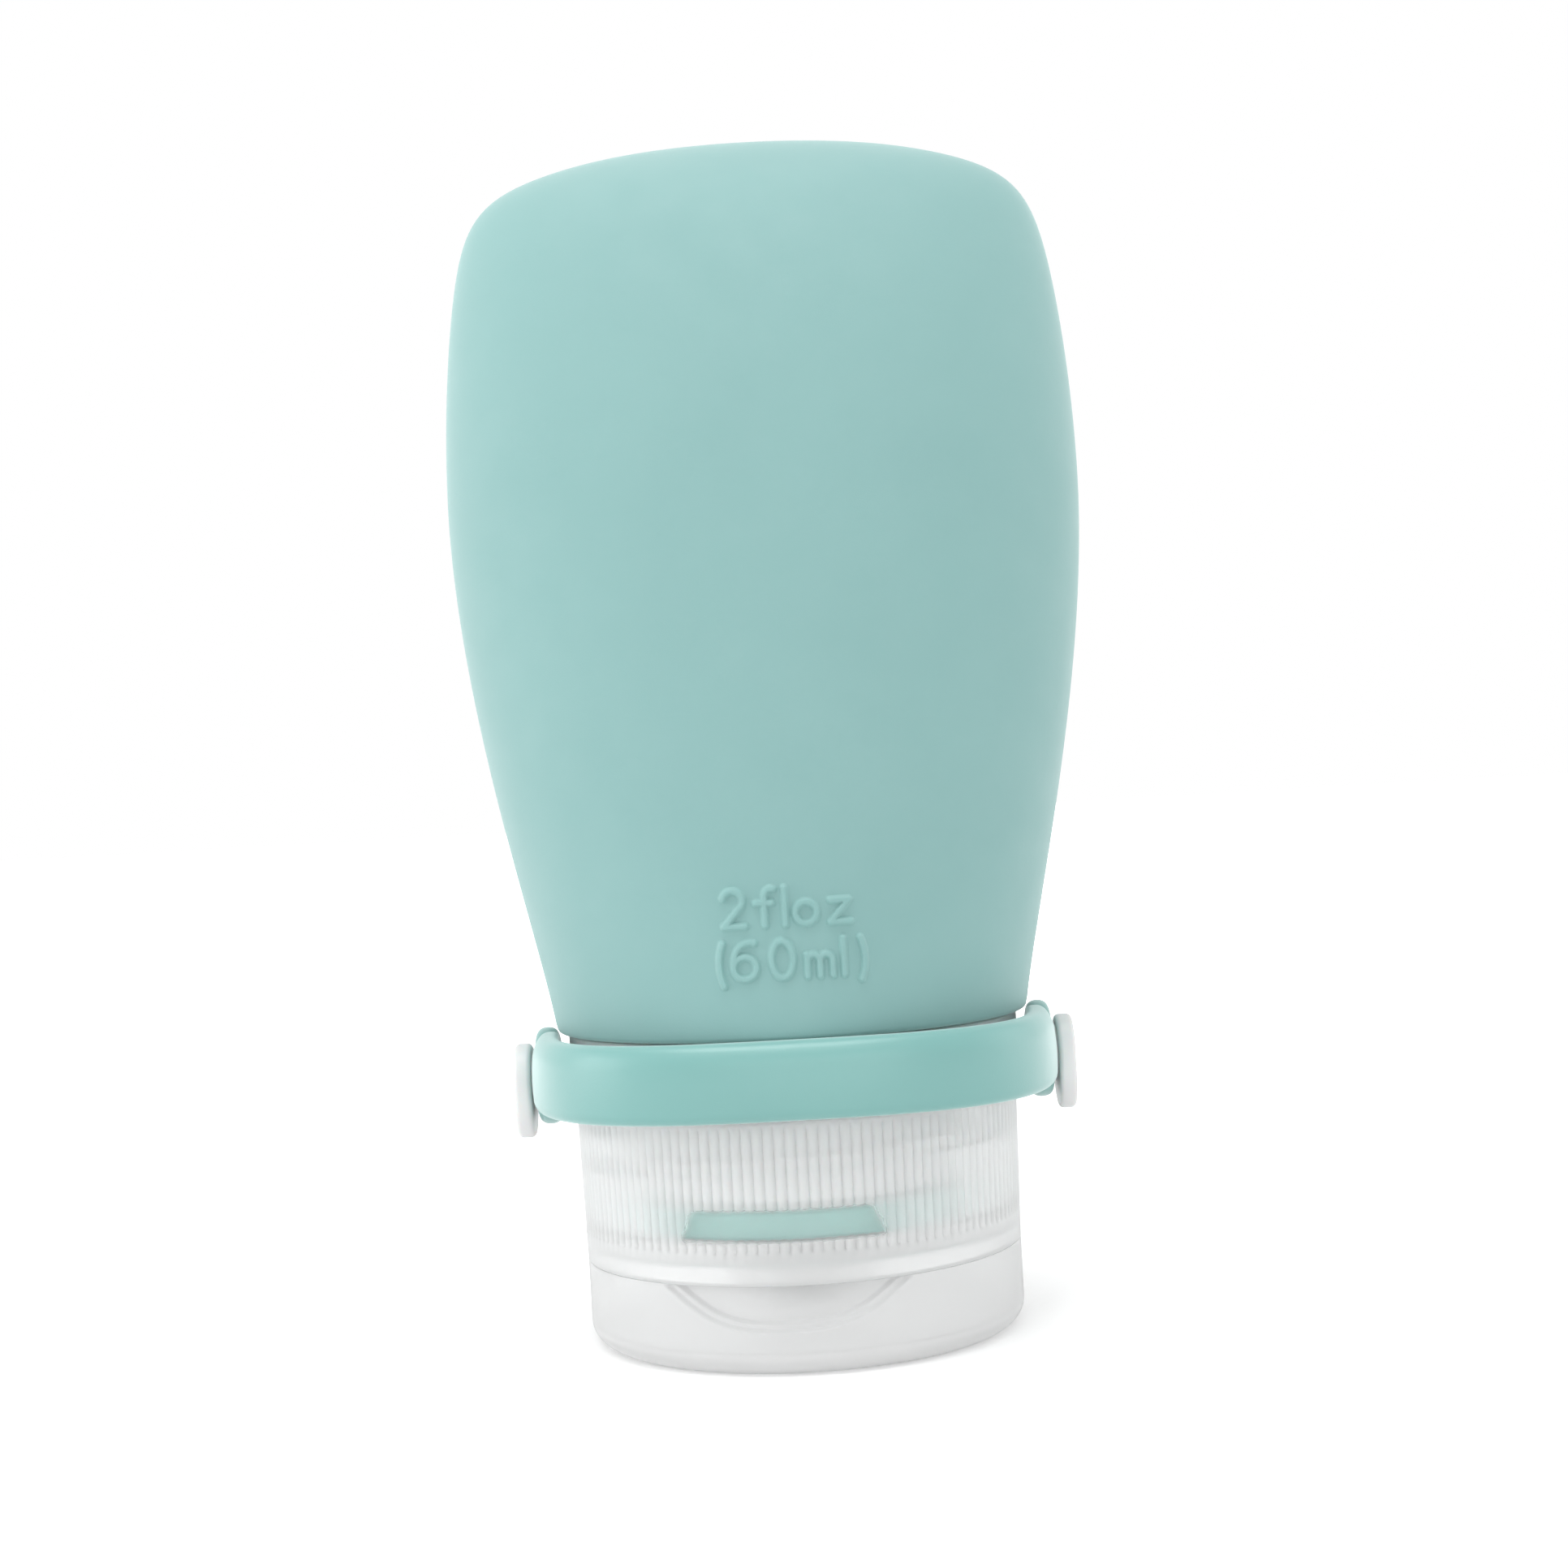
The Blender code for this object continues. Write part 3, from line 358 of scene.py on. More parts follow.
# %% [markdown]
# ## Screw threads
#
# The cap winds onto the collar on one ridge that climbs 3.175 mm each turn. A Screw modifier could sweep
# that ridge, but it would lie on the wall as a second solid. Here it is part of the wall's own radius: at
# each point the gap to the nearest pass of the helix is (level - first level) / lead - turn / full turn,
# less its whole part.

# %% A thread as a term of the radius
THREAD_LEAD, THREAD_HALF, THREAD_FADE = 0.003175, 0.00025, 0.0008
ON_WALL = 0.00005


def thread_rise(level, turn, first, last, ease):
    """1 on the helix's ridge and 0 off it, with sloping flanks, fading in and out over its two ends."""
    passes = (level - first) / THREAD_LEAD - turn / FULL_TURN
    gap = (passes - np.round(passes)) * THREAD_LEAD
    own_level = level - gap
    ends = soft_step((own_level - first) / THREAD_FADE) * soft_step((last - own_level) / THREAD_FADE)
    return soft_step((THREAD_HALF + ease - np.abs(gap)) / ease) * ends


# %% [markdown]
# ## The neck collar
#
# A rigid ring of milky plastic is trapped on the silicone neck. It carries the outer thread for the cap, a
# flange, and on either side a post whose oblong head keeps the strap's eyelet on. Ring and posts are one
# moulding, so the posts are joined on with a Boolean, which is then applied.

# %% Ring, thread and flange
COLLAR_BORE, BARREL_RADIUS, BARREL_LOW, FLANGE_LOW, FLANGE_HIGH = 0.0137, 0.0150, 0.0127, 0.0197, 0.0253
FLANGE_RADIUS, CORE_INNER, CORE_OUTER, CORE_TOP = 0.0183, 0.0160, 0.0171, 0.0231
MALE_THREAD_HEIGHT, MALE_THREAD_EASE, THREAD_MARGIN = 0.0012, 0.00045, 0.0009
COLLAR_COLUMNS, COLLAR_STEP = 192, 0.00022
COLLAR_EASING = (0.0002, 0.0004, 0.0002, 0.0002, 0.0002, 0.0002, 0.0002, 0.0003, 0.0003, 0.0003)


def collar_grid():
    """The collar's closed profile, carried round, with the thread added to the radius of its barrel."""
    corners = [(COLLAR_BORE, BARREL_LOW), (BARREL_RADIUS, BARREL_LOW), (BARREL_RADIUS, FLANGE_LOW),
               (CORE_INNER, FLANGE_LOW), (CORE_INNER, CORE_TOP), (CORE_OUTER, CORE_TOP),
               (CORE_OUTER, FLANGE_LOW), (FLANGE_RADIUS, FLANGE_LOW), (FLANGE_RADIUS, FLANGE_HIGH),
               (COLLAR_BORE, FLANGE_HIGH)]
    profile = divided(rounded(corners, COLLAR_EASING), COLLAR_STEP)
    radius, level = profile[:, :1], profile[:, 1:]
    turn = np.arange(COLLAR_COLUMNS)[None, :] * FULL_TURN / COLLAR_COLUMNS
    on_barrel = (np.abs(radius - BARREL_RADIUS) < ON_WALL) & (level > BARREL_LOW) & (level < FLANGE_LOW)
    ridge = thread_rise(level, turn, BARREL_LOW + THREAD_MARGIN, FLANGE_LOW - THREAD_MARGIN, MALE_THREAD_EASE)
    return turned(radius + MALE_THREAD_HEIGHT * ridge * on_barrel, level, turn)


collar = skin("threaded_collar", collar_grid(), ring=True)

# %% Posts with oblong heads, joined to the ring
POST_LEVEL, POST_RADIUS, HEAD_INNER, HEAD_OUTER = 0.0216, 0.0020, 0.02145, 0.02285
HEAD_LEVEL, HEAD_HALF_HEIGHT, HEAD_HALF_WIDTH, HEAD_ROUND = 0.02055, 0.00385, 0.0027, 0.0004
POST_ROOT = FLANGE_RADIUS - 0.0006


def post_ring(across, radius, straight, level, count=64):
    """An upright oval ring: two half circles of one radius, set apart by a straight."""
    turn = (np.arange(count) + 0.5) * FULL_TURN / count
    lift = np.where(np.sin(turn) > 0.0, straight, -straight) + radius * np.sin(turn)
    return np.column_stack((np.full(count, across), radius * np.cos(turn), level + lift))


def post_grid():
    """Round stem, then the oblong head with its two edges rounded by quarter circles."""
    straight = HEAD_HALF_HEIGHT - HEAD_HALF_WIDTH
    rings = [post_ring(across, POST_RADIUS, 0.0, POST_LEVEL) for across in (POST_ROOT, HEAD_INNER)]
    bend = np.radians(np.linspace(0.0, 90.0, 6))
    less_cosine, less_sine = HEAD_ROUND * (1.0 - np.cos(bend)), HEAD_ROUND * (1.0 - np.sin(bend))
    rings += [post_ring(HEAD_INNER + out, HEAD_HALF_WIDTH - narrower, straight, HEAD_LEVEL)
              for out, narrower in zip(less_cosine, less_sine)]
    rings += [post_ring(HEAD_OUTER - out, HEAD_HALF_WIDTH - narrower, straight, HEAD_LEVEL)
              for out, narrower in zip(less_sine, less_cosine)]
    return np.array(rings)


def join_on(target, tool):
    """Joins a closed tool piece to the target with an exact Boolean, applies it, and removes the tool."""
    union = target.modifiers.new("Join", "BOOLEAN")
    union.operation, union.solver, union.object = "UNION", "EXACT", tool
    layer = bpy.context.evaluated_depsgraph_get()
    mesh = bpy.data.meshes.new_from_object(target.evaluated_get(layer))
    target.modifiers.clear()
    target.data = mesh
    bpy.data.objects.remove(tool, do_unlink=True)


for side in (-1.0, 1.0):
    rings = post_grid() * (side, 1.0, 1.0)
    ends = [(side * POST_ROOT, 0.0, POST_LEVEL), (side * HEAD_OUTER, 0.0, HEAD_LEVEL)]
    join_on(collar, skin("side_post", rings, poles=ends))
shade(collar.data)
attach(collar, "bottle")
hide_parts("neck_collar")
print("collar with posts:", len(collar.data.polygons), "faces")

# %% [markdown]
# ## The strap
#
# Band and eyelets are one soft moulding with generous rounds. The band is a section carried along a squared
# oval, leaning back a little near its top, and each eyelet is a thick washer. Modelling them as one cage
# with a subdivision modifier would blur their outlines.

# %% Band, eyelets and their union
STRAP_TOP, STRAP_BOTTOM, STRAP_THICKNESS = 0.0256, 0.0197, 0.0024
STRAP_REACH, STRAP_HALF, STRAP_POWER, STRAP_INNER_POWER = 0.0217, 0.0212, 2.75, 3.2
STRAP_END, STRAP_END_ROUND, NOSE_TIP, STRAP_STATIONS = 0.0022, 0.0010, 0.02, 300
STRAP_SECTION = ((0.0, STRAP_BOTTOM), (STRAP_THICKNESS - 0.0001, STRAP_BOTTOM), (STRAP_THICKNESS, 0.0222),
                 (STRAP_THICKNESS - 0.0002, 0.0245), (STRAP_THICKNESS - 0.0010, STRAP_TOP), (0.0, STRAP_TOP))
STRAP_EASING = (0.0006, 0.0009, 0.0011, 0.0007, 0.0006, 0.0006)
EYE_EASING, EYE_STEP, EYE_COLUMNS = (0.0002, 0.0009, 0.0009, 0.0002), 0.0004, 96
EYE_INNER, EYE_OUTER, EYE_RADIUS, EYE_LEVEL, EYE_HOLE = 0.0192, 0.02105, 0.00395, 0.0217, 0.0023


def strap_grid():
    """The band: a rounded tall section between an inner and an outer squared oval, |x/a|^n + |y/b|^n = 1.

    n is 2.75 outside and 3.2 inside, so the band clears the lid's rounded edge when it is swung under it.
    Near either end the section shrinks towards its middle as a quarter circle, and the band ends in a nose.
    """
    section = rounded(STRAP_SECTION, STRAP_EASING, 9)
    start = math.asin((STRAP_END / STRAP_REACH) ** (STRAP_POWER / 2.0))
    turn = np.linspace(start, 0.5 * FULL_TURN - start, STRAP_STATIONS)[:, None]
    nose = (STRAP_REACH * np.sin(turn) ** (2.0 / STRAP_POWER) - STRAP_END) / STRAP_END_ROUND
    swell = np.sqrt(1.0 - (1.0 - np.clip(nose, NOSE_TIP, 1.0)) ** 2)
    share = 0.5 + (section[None, :, 0] / STRAP_THICKNESS - 0.5) * swell
    inset = STRAP_THICKNESS * (1.0 - share)
    power = 2.0 / (STRAP_INNER_POWER + (STRAP_POWER - STRAP_INNER_POWER) * share)
    cosine = np.sign(np.cos(turn)) * np.abs(np.cos(turn)) ** power
    sine = np.sin(turn) ** power
    middle = 0.5 * (STRAP_BOTTOM + STRAP_TOP)
    level = middle + (section[None, :, 1] - middle) * swell
    return np.stack(((STRAP_HALF - inset) * cosine, -(STRAP_REACH - inset) * sine, level), axis=-1)


def eye_grid(side):
    """The eyelet: a rounded washer about a post, its hole a little off its centre."""
    corners = [(EYE_INNER, EYE_HOLE), (EYE_INNER, EYE_RADIUS), (EYE_OUTER, EYE_RADIUS), (EYE_OUTER, EYE_HOLE)]
    section = divided(rounded(corners, EYE_EASING, 9), EYE_STEP)
    turn = np.arange(EYE_COLUMNS)[None, :] * FULL_TURN / EYE_COLUMNS
    across, radius = side * section[:, :1], section[:, 1:]
    share = (radius - EYE_HOLE) / (EYE_RADIUS - EYE_HOLE)
    level = POST_LEVEL + share * (EYE_LEVEL - POST_LEVEL) + radius * np.sin(turn)
    across = np.broadcast_to(across, level.shape)
    return np.stack((across, radius * np.cos(turn) + 0.0 * level, level), axis=-1)


band_grid = strap_grid()
strap = skin("swing_strap", band_grid, poles=[band_grid[0].mean(axis=0), band_grid[-1].mean(axis=0)])
for side in (-1.0, 1.0):
    join_on(strap, skin("strap_eye", eye_grid(side), ring=True))
shade(strap.data)
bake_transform(strap)
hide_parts("left_strap_eye", "right_strap_eye", "strap_band")
print("strap:", len(strap.data.polygons), "faces")

# %% [markdown]
# ## The ribbed cap
#
# The cap is one moulding of frosted plastic: a skirt with 133 fine grip ribs and a smooth window through
# which the silicone lip shows, an inner thread, a deck, and the nozzle. Each rib needs six columns, but the
# inside doesn't, so the outside and the inside are two grids of unlike fineness, zipped together at the rim
# and at the hem.

# %% Outside of the skirt
CAP_CLOCKING = math.radians(-5.5)
LID_RADIUS, SKIRT_TOP_RADIUS, SKIRT_INNER = 0.0177, 0.0180, 0.0164
SEAM, SKIRT_BOTTOM, SKIRT_TOP = 0.0069, 0.006905, 0.0194
SEAM_EDGE, RIM_ROUND, RIM_START, SHARP = 0.00005, 0.0003, 0.00045, 0.00001
RIB_COUNT, RIB_COLUMNS, RIB_DEPTH, RIB_POWER = 133, 6, 0.00018, 0.7
RIB_BOTTOM, RIB_MIDDLE, RIB_FADE, RIB_TOP_FADE = 0.0092, 0.0150, 0.0003, 0.0004
WINDOW_LEVEL, WINDOW_HALF_HEIGHT, WINDOW_HALF_WIDTH, WINDOW_CORE = 0.0114, 0.0012, 0.0070, 0.0004
WINDOW_SLANT, WINDOW_DEPTH, WINDOW_EASE = 0.0012, 0.00012, 0.0006
NOTCH_HALF_WIDTH, NOTCH_HALF_HEIGHT, NOTCH_FACE, NOTCH_SEARCH = 0.0045, 0.0016, 0.01685, 0.9
DECK_BOTTOM, DECK_TOP = 0.0083, 0.0097
HEM_FROST, HEM_FROST_FADE, RIB_FROST, WINDOW_FROST = 1.05, 0.0008, 0.25, 0.18
GLIMPSE_REACH, GLIMPSE_FROST = 0.0042, 0.72


def at_window_level(level):
    """1 at the window's levels and 0 above and below them, with soft edges."""
    return soft_step((WINDOW_HALF_HEIGHT - np.abs(level - WINDOW_LEVEL)) / WINDOW_EASE + 0.5)


def in_window(turn, level):
    """1 inside the window, with soft edges. The window widens downwards, so its ends slant."""
    up = (level - WINDOW_LEVEL) / WINDOW_HALF_HEIGHT
    half = WINDOW_HALF_WIDTH + 0.5 * WINDOW_SLANT * (1.0 - np.clip(up, -1.0, 1.0))
    within = (half - np.abs(from_front(turn)) * SKIRT_TOP_RADIUS) / (1.5 * WINDOW_EASE)
    return soft_step(within + 0.5) * at_window_level(level)


def notched(radius, turn, level):
    """The radius, cut back to a flat face within the hinge's notch at the back of the seam."""
    behind = np.minimum(np.abs(from_front(turn + 0.5 * FULL_TURN)), NOTCH_SEARCH)
    face = NOTCH_FACE / np.cos(behind)
    inside = (np.tan(behind) * NOTCH_FACE < NOTCH_HALF_WIDTH) & (np.abs(level - SEAM) < NOTCH_HALF_HEIGHT)
    return np.where(inside, np.minimum(radius, face), radius)


def skirt_rows():
    """The level of each row of the skirt, and how far its rounded edges draw that row in."""
    edge = arc_profile(LID_RADIUS - SEAM_EDGE, SKIRT_BOTTOM + SEAM_EDGE, SEAM_EDGE, -80.0, 0.0, 4)
    rim = arc_profile(SKIRT_TOP_RADIUS - RIM_ROUND, SKIRT_TOP - RIM_ROUND, RIM_ROUND, 20.0, 80.0, 3)
    notch_top = SEAM + NOTCH_HALF_HEIGHT
    hem = [notch_top - SHARP, notch_top, RIB_BOTTOM, RIB_BOTTOM + 0.5 * RIB_FADE, RIB_BOTTOM + RIB_FADE]
    low, high = WINDOW_LEVEL - WINDOW_HALF_HEIGHT, WINDOW_LEVEL + WINDOW_HALF_HEIGHT
    step = 0.5 * WINDOW_EASE * np.array([-1.0, -0.5, 0.0, 0.5, 1.0])
    window = [*(low + step), WINDOW_LEVEL - WINDOW_CORE, WINDOW_LEVEL + WINDOW_CORE, *(high + step)]
    top = [RIB_MIDDLE, SKIRT_TOP - 2.0 * RIB_TOP_FADE, SKIRT_TOP - RIM_START]
    level = np.concatenate((edge[:, 1], hem, window, top, rim[:, 1]))[:, None]
    drawn_in = np.zeros_like(level)
    drawn_in[:len(edge), 0] = edge[:, 0] - LID_RADIUS
    drawn_in[-len(rim):, 0] = rim[:, 0] - SKIRT_TOP_RADIUS
    return level, drawn_in


def skirt_frost(turn, level, wave, fade, window):
    """How strongly the skirt is etched: 1 on plain wall, and least in the polished window.

    It is more on the thick hem and on the ribs' crests, and less between them. It is also less in a short
    zone on either side of the window, where the lip shows faintly through the ribs.
    """
    hem_frost = HEM_FROST + (1.0 - HEM_FROST) * soft_step((level - DECK_TOP) / HEM_FROST_FADE + 0.5)
    etched = hem_frost + RIB_FROST * (0.5 - wave) * fade
    away = np.abs(from_front(turn)) * SKIRT_TOP_RADIUS
    beside = soft_step((WINDOW_HALF_WIDTH + GLIMPSE_REACH - away) / GLIMPSE_REACH) * at_window_level(level)
    etched = etched + (GLIMPSE_FROST - etched) * beside
    return etched + (WINDOW_FROST - etched) * window


def skirt_outside():
    """The skirt's points, and the frost of each one. Radius = cone - ribs - window.

    The groove between two ribs follows 1 - |cos|^0.7 of half the ribs' angle. The hem and the rim stay plain.
    """
    level, drawn_in = skirt_rows()
    turn = np.arange(RIB_COUNT * RIB_COLUMNS)[None, :] * FULL_TURN / (RIB_COUNT * RIB_COLUMNS)
    cone = LID_RADIUS + (SKIRT_TOP_RADIUS - LID_RADIUS) * (level - SEAM) / (SKIRT_TOP - SEAM) + drawn_in
    wave = 1.0 - np.abs(np.cos(0.5 * RIB_COUNT * turn)) ** RIB_POWER
    fade = soft_step((level - RIB_BOTTOM) / RIB_FADE)
    fade = fade * soft_step((SKIRT_TOP - RIB_TOP_FADE - level) / RIB_TOP_FADE)
    window = in_window(turn, level)
    radius = cone - RIB_DEPTH * wave * fade * (1.0 - window) - WINDOW_DEPTH * window
    frost = skirt_frost(turn, level, wave, fade, window)
    return turned(notched(radius, turn, level), level, turn + CAP_CLOCKING), frost


outside, outside_frost = skirt_outside()
print("skirt outside:", outside.shape[:2], "rows and columns")

# %% Inside of the cap: thread, deck, pocket and nozzle
POCKET_RADIUS, POCKET_FLOOR = 0.0050, 0.0066
NOZZLE_BORE, NOZZLE_TIP, NOZZLE_BASE, NOZZLE_LEVEL = 0.0036, 0.0050, 0.0064, 0.0032
FEMALE_THREAD_HEIGHT, FEMALE_THREAD_EASE = 0.0004, 0.0004
FEMALE_THREAD_LOW, FEMALE_THREAD_HIGH = 0.0118, 0.0172
RIM_FLAT, INSIDE_STEP, INSIDE_FROST = 0.0005, 0.0004, 0.2
INSIDE_EASING = (SHARP, 0.0003, 0.0004, 0.0003, 0.0001, 0.0002, 0.0003, 0.0005, 0.0008, 0.0008, 0.0005,
                 0.0002, SHARP)


def cap_inside():
    """From the rim down the threaded inner wall, over the deck, through the nozzle and back to the hem.

    The thread lies half a lead above its two named levels. It runs 0.2 mm below the collar's thread, so the
    two ridges overlap by up to 0.2 mm behind the frosted skirt. 1.8 mm further up it would run clear.
    """
    corners = [(SKIRT_TOP_RADIUS - RIM_FLAT, SKIRT_TOP), (SKIRT_INNER, SKIRT_TOP), (SKIRT_INNER, DECK_TOP),
               (POCKET_RADIUS, DECK_TOP), (POCKET_RADIUS, POCKET_FLOOR), (NOZZLE_BORE, POCKET_FLOOR),
               (NOZZLE_BORE, NOZZLE_LEVEL), (NOZZLE_TIP, NOZZLE_LEVEL), (NOZZLE_BASE, POCKET_FLOOR),
               (NOZZLE_BASE, DECK_BOTTOM), (SKIRT_INNER, DECK_BOTTOM), (SKIRT_INNER, SKIRT_BOTTOM),
               (LID_RADIUS - RIM_FLAT, SKIRT_BOTTOM)]
    profile = divided_open(rounded(corners, INSIDE_EASING)[1:-1], INSIDE_STEP)
    radius, level = profile[:, :1], profile[:, 1:]
    turn = np.arange(2 * RIB_COUNT)[None, :] * FULL_TURN / (2 * RIB_COUNT)
    on_wall = (np.abs(radius - SKIRT_INNER) < ON_WALL) & (level > DECK_TOP)
    ridge = thread_rise(level - 0.5 * THREAD_LEAD, turn + CAP_CLOCKING, FEMALE_THREAD_LOW, FEMALE_THREAD_HIGH,
                        FEMALE_THREAD_EASE)
    return turned(radius - FEMALE_THREAD_HEIGHT * ridge * on_wall, level, turn + CAP_CLOCKING)


def zip_faces(fine, coarse):
    """Triangles between a ring and one with a whole number of times fewer points."""
    times = len(fine) // len(coarse)
    share = fine.reshape(-1, times)
    after = np.roll(fine, -1).reshape(-1, times)
    owner = np.repeat(coarse[:, None], times, axis=1)
    fans = np.stack((share, after, owner), axis=-1).reshape(-1, 3)
    fills = np.column_stack((after[:, -1], np.roll(coarse, -1), coarse))
    return fans.tolist() + fills.tolist()


def etch(thing, values):
    """Stores how strongly each point is etched: 1 is frosted, 0 is polished."""
    store = thing.data.attributes.new("frost", "FLOAT", "POINT")
    store.data.foreach_set("value", np.asarray(values, dtype=np.float32).ravel())


def cap_object():
    """Zips the two grids at the rim and at the hem. The inside has one light frost all over."""
    inside = cap_inside()
    outer = np.arange(outside.shape[0] * outside.shape[1]).reshape(outside.shape[:2])
    inner = outer.size + np.arange(inside.shape[0] * inside.shape[1]).reshape(inside.shape[:2])
    faces = grid_faces(np.hstack((outer, outer[:, :1]))) + grid_faces(np.hstack((inner, inner[:, :1])))
    faces += zip_faces(outer[-1], inner[0])
    faces += [face[::-1] for face in zip_faces(outer[0], inner[-1])]
    points = np.vstack((outside.reshape(-1, 3), inside.reshape(-1, 3)))
    thing = make_object("ribbed_cap", points, faces, MOULDED_CREASE)
    etch(thing, np.concatenate((outside_frost.ravel(), np.full(inner.size, INSIDE_FROST))))
    return thing


cap = cap_object()
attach(cap, "cap")
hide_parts("cap_shell")
print("cap:", len(cap.data.polygons), "faces")

# %% [markdown]
# ## The flip lid
#
# The lid is a shallow cup. A thumb recess hangs from its rim like a smile, and inside it a short plug shuts
# the nozzle. It could be a turned cup with the recess cut out by a Boolean. As a term of the radius the
# recess gets the soft shoulder that a mould leaves, and its edge is measured as a distance below one curve.

# %% Cup, thumb recess and plug
LID_HEIGHT, LID_FLOOR, LID_INNER, LID_ROUND, LID_FROST = 0.006895, 0.0013, 0.0164, 0.0019, 0.82
RECESS_DEPTH, RECESS_HALF, RECESS_CURVE, RECESS_ROUND, RECESS_FADE = 0.0034, 0.0104, 3, 1.5, 0.0004
RECESS_CUT, RECESS_EASE, RECESS_BORDER, RIM_KEPT, RIM_LEAD = 0.0008, 0.00025, 0.00055, 0.0009, 0.0009
RECESS_SPAN, RECESS_COLUMNS, PLAIN_COLUMNS = 1.15, 240, 152
PLUG_RADIUS, PLUG_BORE, PLUG_TOP = 0.0032, 0.0022, 0.0044
POLE_HOLE, RIM_GAP, LID_STEP = 0.0004, 0.0002, 0.0006
FACE_ROWS, EDGE_ROWS, WALL_ROWS, EASE_POINTS = 8, 12, 60, 5
LID_EASING = (SHARP, SEAM_EDGE, 0.0002, 0.0010, 0.0003, 0.0003, 0.0003, 0.0003, SHARP)


def recess(turn, level):
    """The share of the recess's full cut at each point: half of it at the edge, the rest a border further in.

    The edge hangs from the rim by depth x (1 - |s|^3)^1.5, where s runs across the recess. The distance to it
    is the drop above the curve divided by the curve's own slope.
    """
    s = np.clip(np.abs(from_front(turn)) * LID_RADIUS / RECESS_HALF, 0.0, 1.0)
    rest = 1.0 - s ** RECESS_CURVE
    reach = RECESS_DEPTH * rest ** RECESS_ROUND
    steep = RECESS_CURVE * RECESS_ROUND * RECESS_DEPTH / RECESS_HALF
    slope = np.hypot(1.0, steep * s ** (RECESS_CURVE - 1) * rest ** (RECESS_ROUND - 1.0))
    inward = (level - (LID_HEIGHT - reach)) / slope
    both = soft_step(inward / RECESS_EASE + 0.5) + soft_step((inward - RECESS_BORDER) / RECESS_EASE + 0.5)
    return 0.5 * both * soft_step(reach / RECESS_FADE)


def lid_columns():
    """Angles round the lid, close together across the thumb recess."""
    reach = RECESS_SPAN * RECESS_HALF / LID_RADIUS
    close = np.linspace(-reach, reach, RECESS_COLUMNS)
    plain = np.linspace(reach, FULL_TURN - reach, PLAIN_COLUMNS)[1:-1]
    return np.concatenate((close, plain)) - 0.25 * FULL_TURN


def lid_outside():
    """The profile of the lid's flat face, its rounded edge and its outer wall, as radius and level."""
    face = np.column_stack((np.linspace(POLE_HOLE, LID_RADIUS - LID_ROUND, FACE_ROWS + 1)[:-1],
                            np.zeros(FACE_ROWS)))
    edge = arc_profile(LID_RADIUS - LID_ROUND, LID_ROUND, LID_ROUND, -90.0, 0.0, EDGE_ROWS)
    rise = np.linspace(LID_ROUND, LID_HEIGHT - RIM_GAP, WALL_ROWS)[1:]
    notch_foot = SEAM - NOTCH_HALF_HEIGHT
    wall = np.sort(np.concatenate((rise, [notch_foot - SHARP, notch_foot])))
    return np.vstack((face, edge, np.column_stack((np.full(len(wall), LID_RADIUS), wall))))


def lid_inside():
    """The profile of the rim, the inner wall, the floor and the plug."""
    corners = [(LID_RADIUS, LID_HEIGHT - RIM_LEAD), (LID_RADIUS, LID_HEIGHT), (LID_INNER, LID_HEIGHT),
               (LID_INNER, LID_FLOOR), (PLUG_RADIUS, LID_FLOOR), (PLUG_RADIUS, PLUG_TOP),
               (PLUG_BORE, PLUG_TOP), (PLUG_BORE, LID_FLOOR), (POLE_HOLE, LID_FLOOR)]
    return divided_open(rounded(corners, LID_EASING, EASE_POINTS)[EASE_POINTS:-1], LID_STEP)


def lid_grid():
    """The whole lid, with the recess and the notch cut into its outer wall, and the frost of each point.

    All but the last point of the rim's outer corner still count as outside.
    """
    turn = lid_columns()[None, :]
    outside_rows = lid_outside()
    profile = np.vstack((outside_rows, lid_inside()))
    radius, level = profile[:, :1], profile[:, 1:]
    outer = (np.arange(len(profile)) < len(outside_rows) + EASE_POINTS - 1)[:, None]
    radius = radius - RECESS_CUT * recess(turn, level) * outer * (radius > LID_INNER + RIM_KEPT)
    radius = np.where(outer, notched(radius, turn, level), radius)
    frost = np.where(outer, LID_FROST, INSIDE_FROST) + 0.0 * turn
    return turned(radius, level, turn + CAP_CLOCKING), frost


lid_rows, lid_frost = lid_grid()
lid = skin("flip_cup", lid_rows, poles=[(0.0, 0.0, 0.0), (0.0, 0.0, LID_FLOOR)], crease=MOULDED_CREASE)
etch(lid, [*lid_frost.ravel(), LID_FROST, INSIDE_FROST])
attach(lid, "lid")
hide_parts("flip_lid")

# %% [markdown]
# ## The living hinge
#
# Cap and lid leave the mould together, joined at the back by a web thin enough to bend.

# %% Web
HINGE_RADIUS, WEB_HALF_WIDTH, WEB_THICKNESS, WEB_HALF_HEIGHT = 0.01735, 0.0042, 0.0004, 0.00175
WEB_EDGE, WEB_STEP, WEB_ROWS, WEB_MIDDLE = 0.0001, 0.0003, 25, 0.65


def web_grid():
    """A flat rounded section, carried up through the seam. Halfway up, it is only 0.65 times as thick."""
    wide, half = WEB_HALF_WIDTH, 0.5 * WEB_THICKNESS
    corners = [(-wide, -half), (wide, -half), (wide, half), (-wide, half)]
    section = divided(rounded(corners, WEB_EDGE), WEB_STEP)
    rise = np.linspace(-1.0, 1.0, WEB_ROWS)[:, None]
    across = section[None, :, 0] + 0.0 * rise
    out = HINGE_RADIUS + (WEB_MIDDLE + (1.0 - WEB_MIDDLE) * rise ** 2) * section[None, :, 1]
    cosine, sine = math.cos(CAP_CLOCKING), math.sin(CAP_CLOCKING)
    level = SEAM + WEB_HALF_HEIGHT * rise + 0.0 * across
    return np.stack((across * cosine - out * sine, across * sine + out * cosine, level), axis=-1)


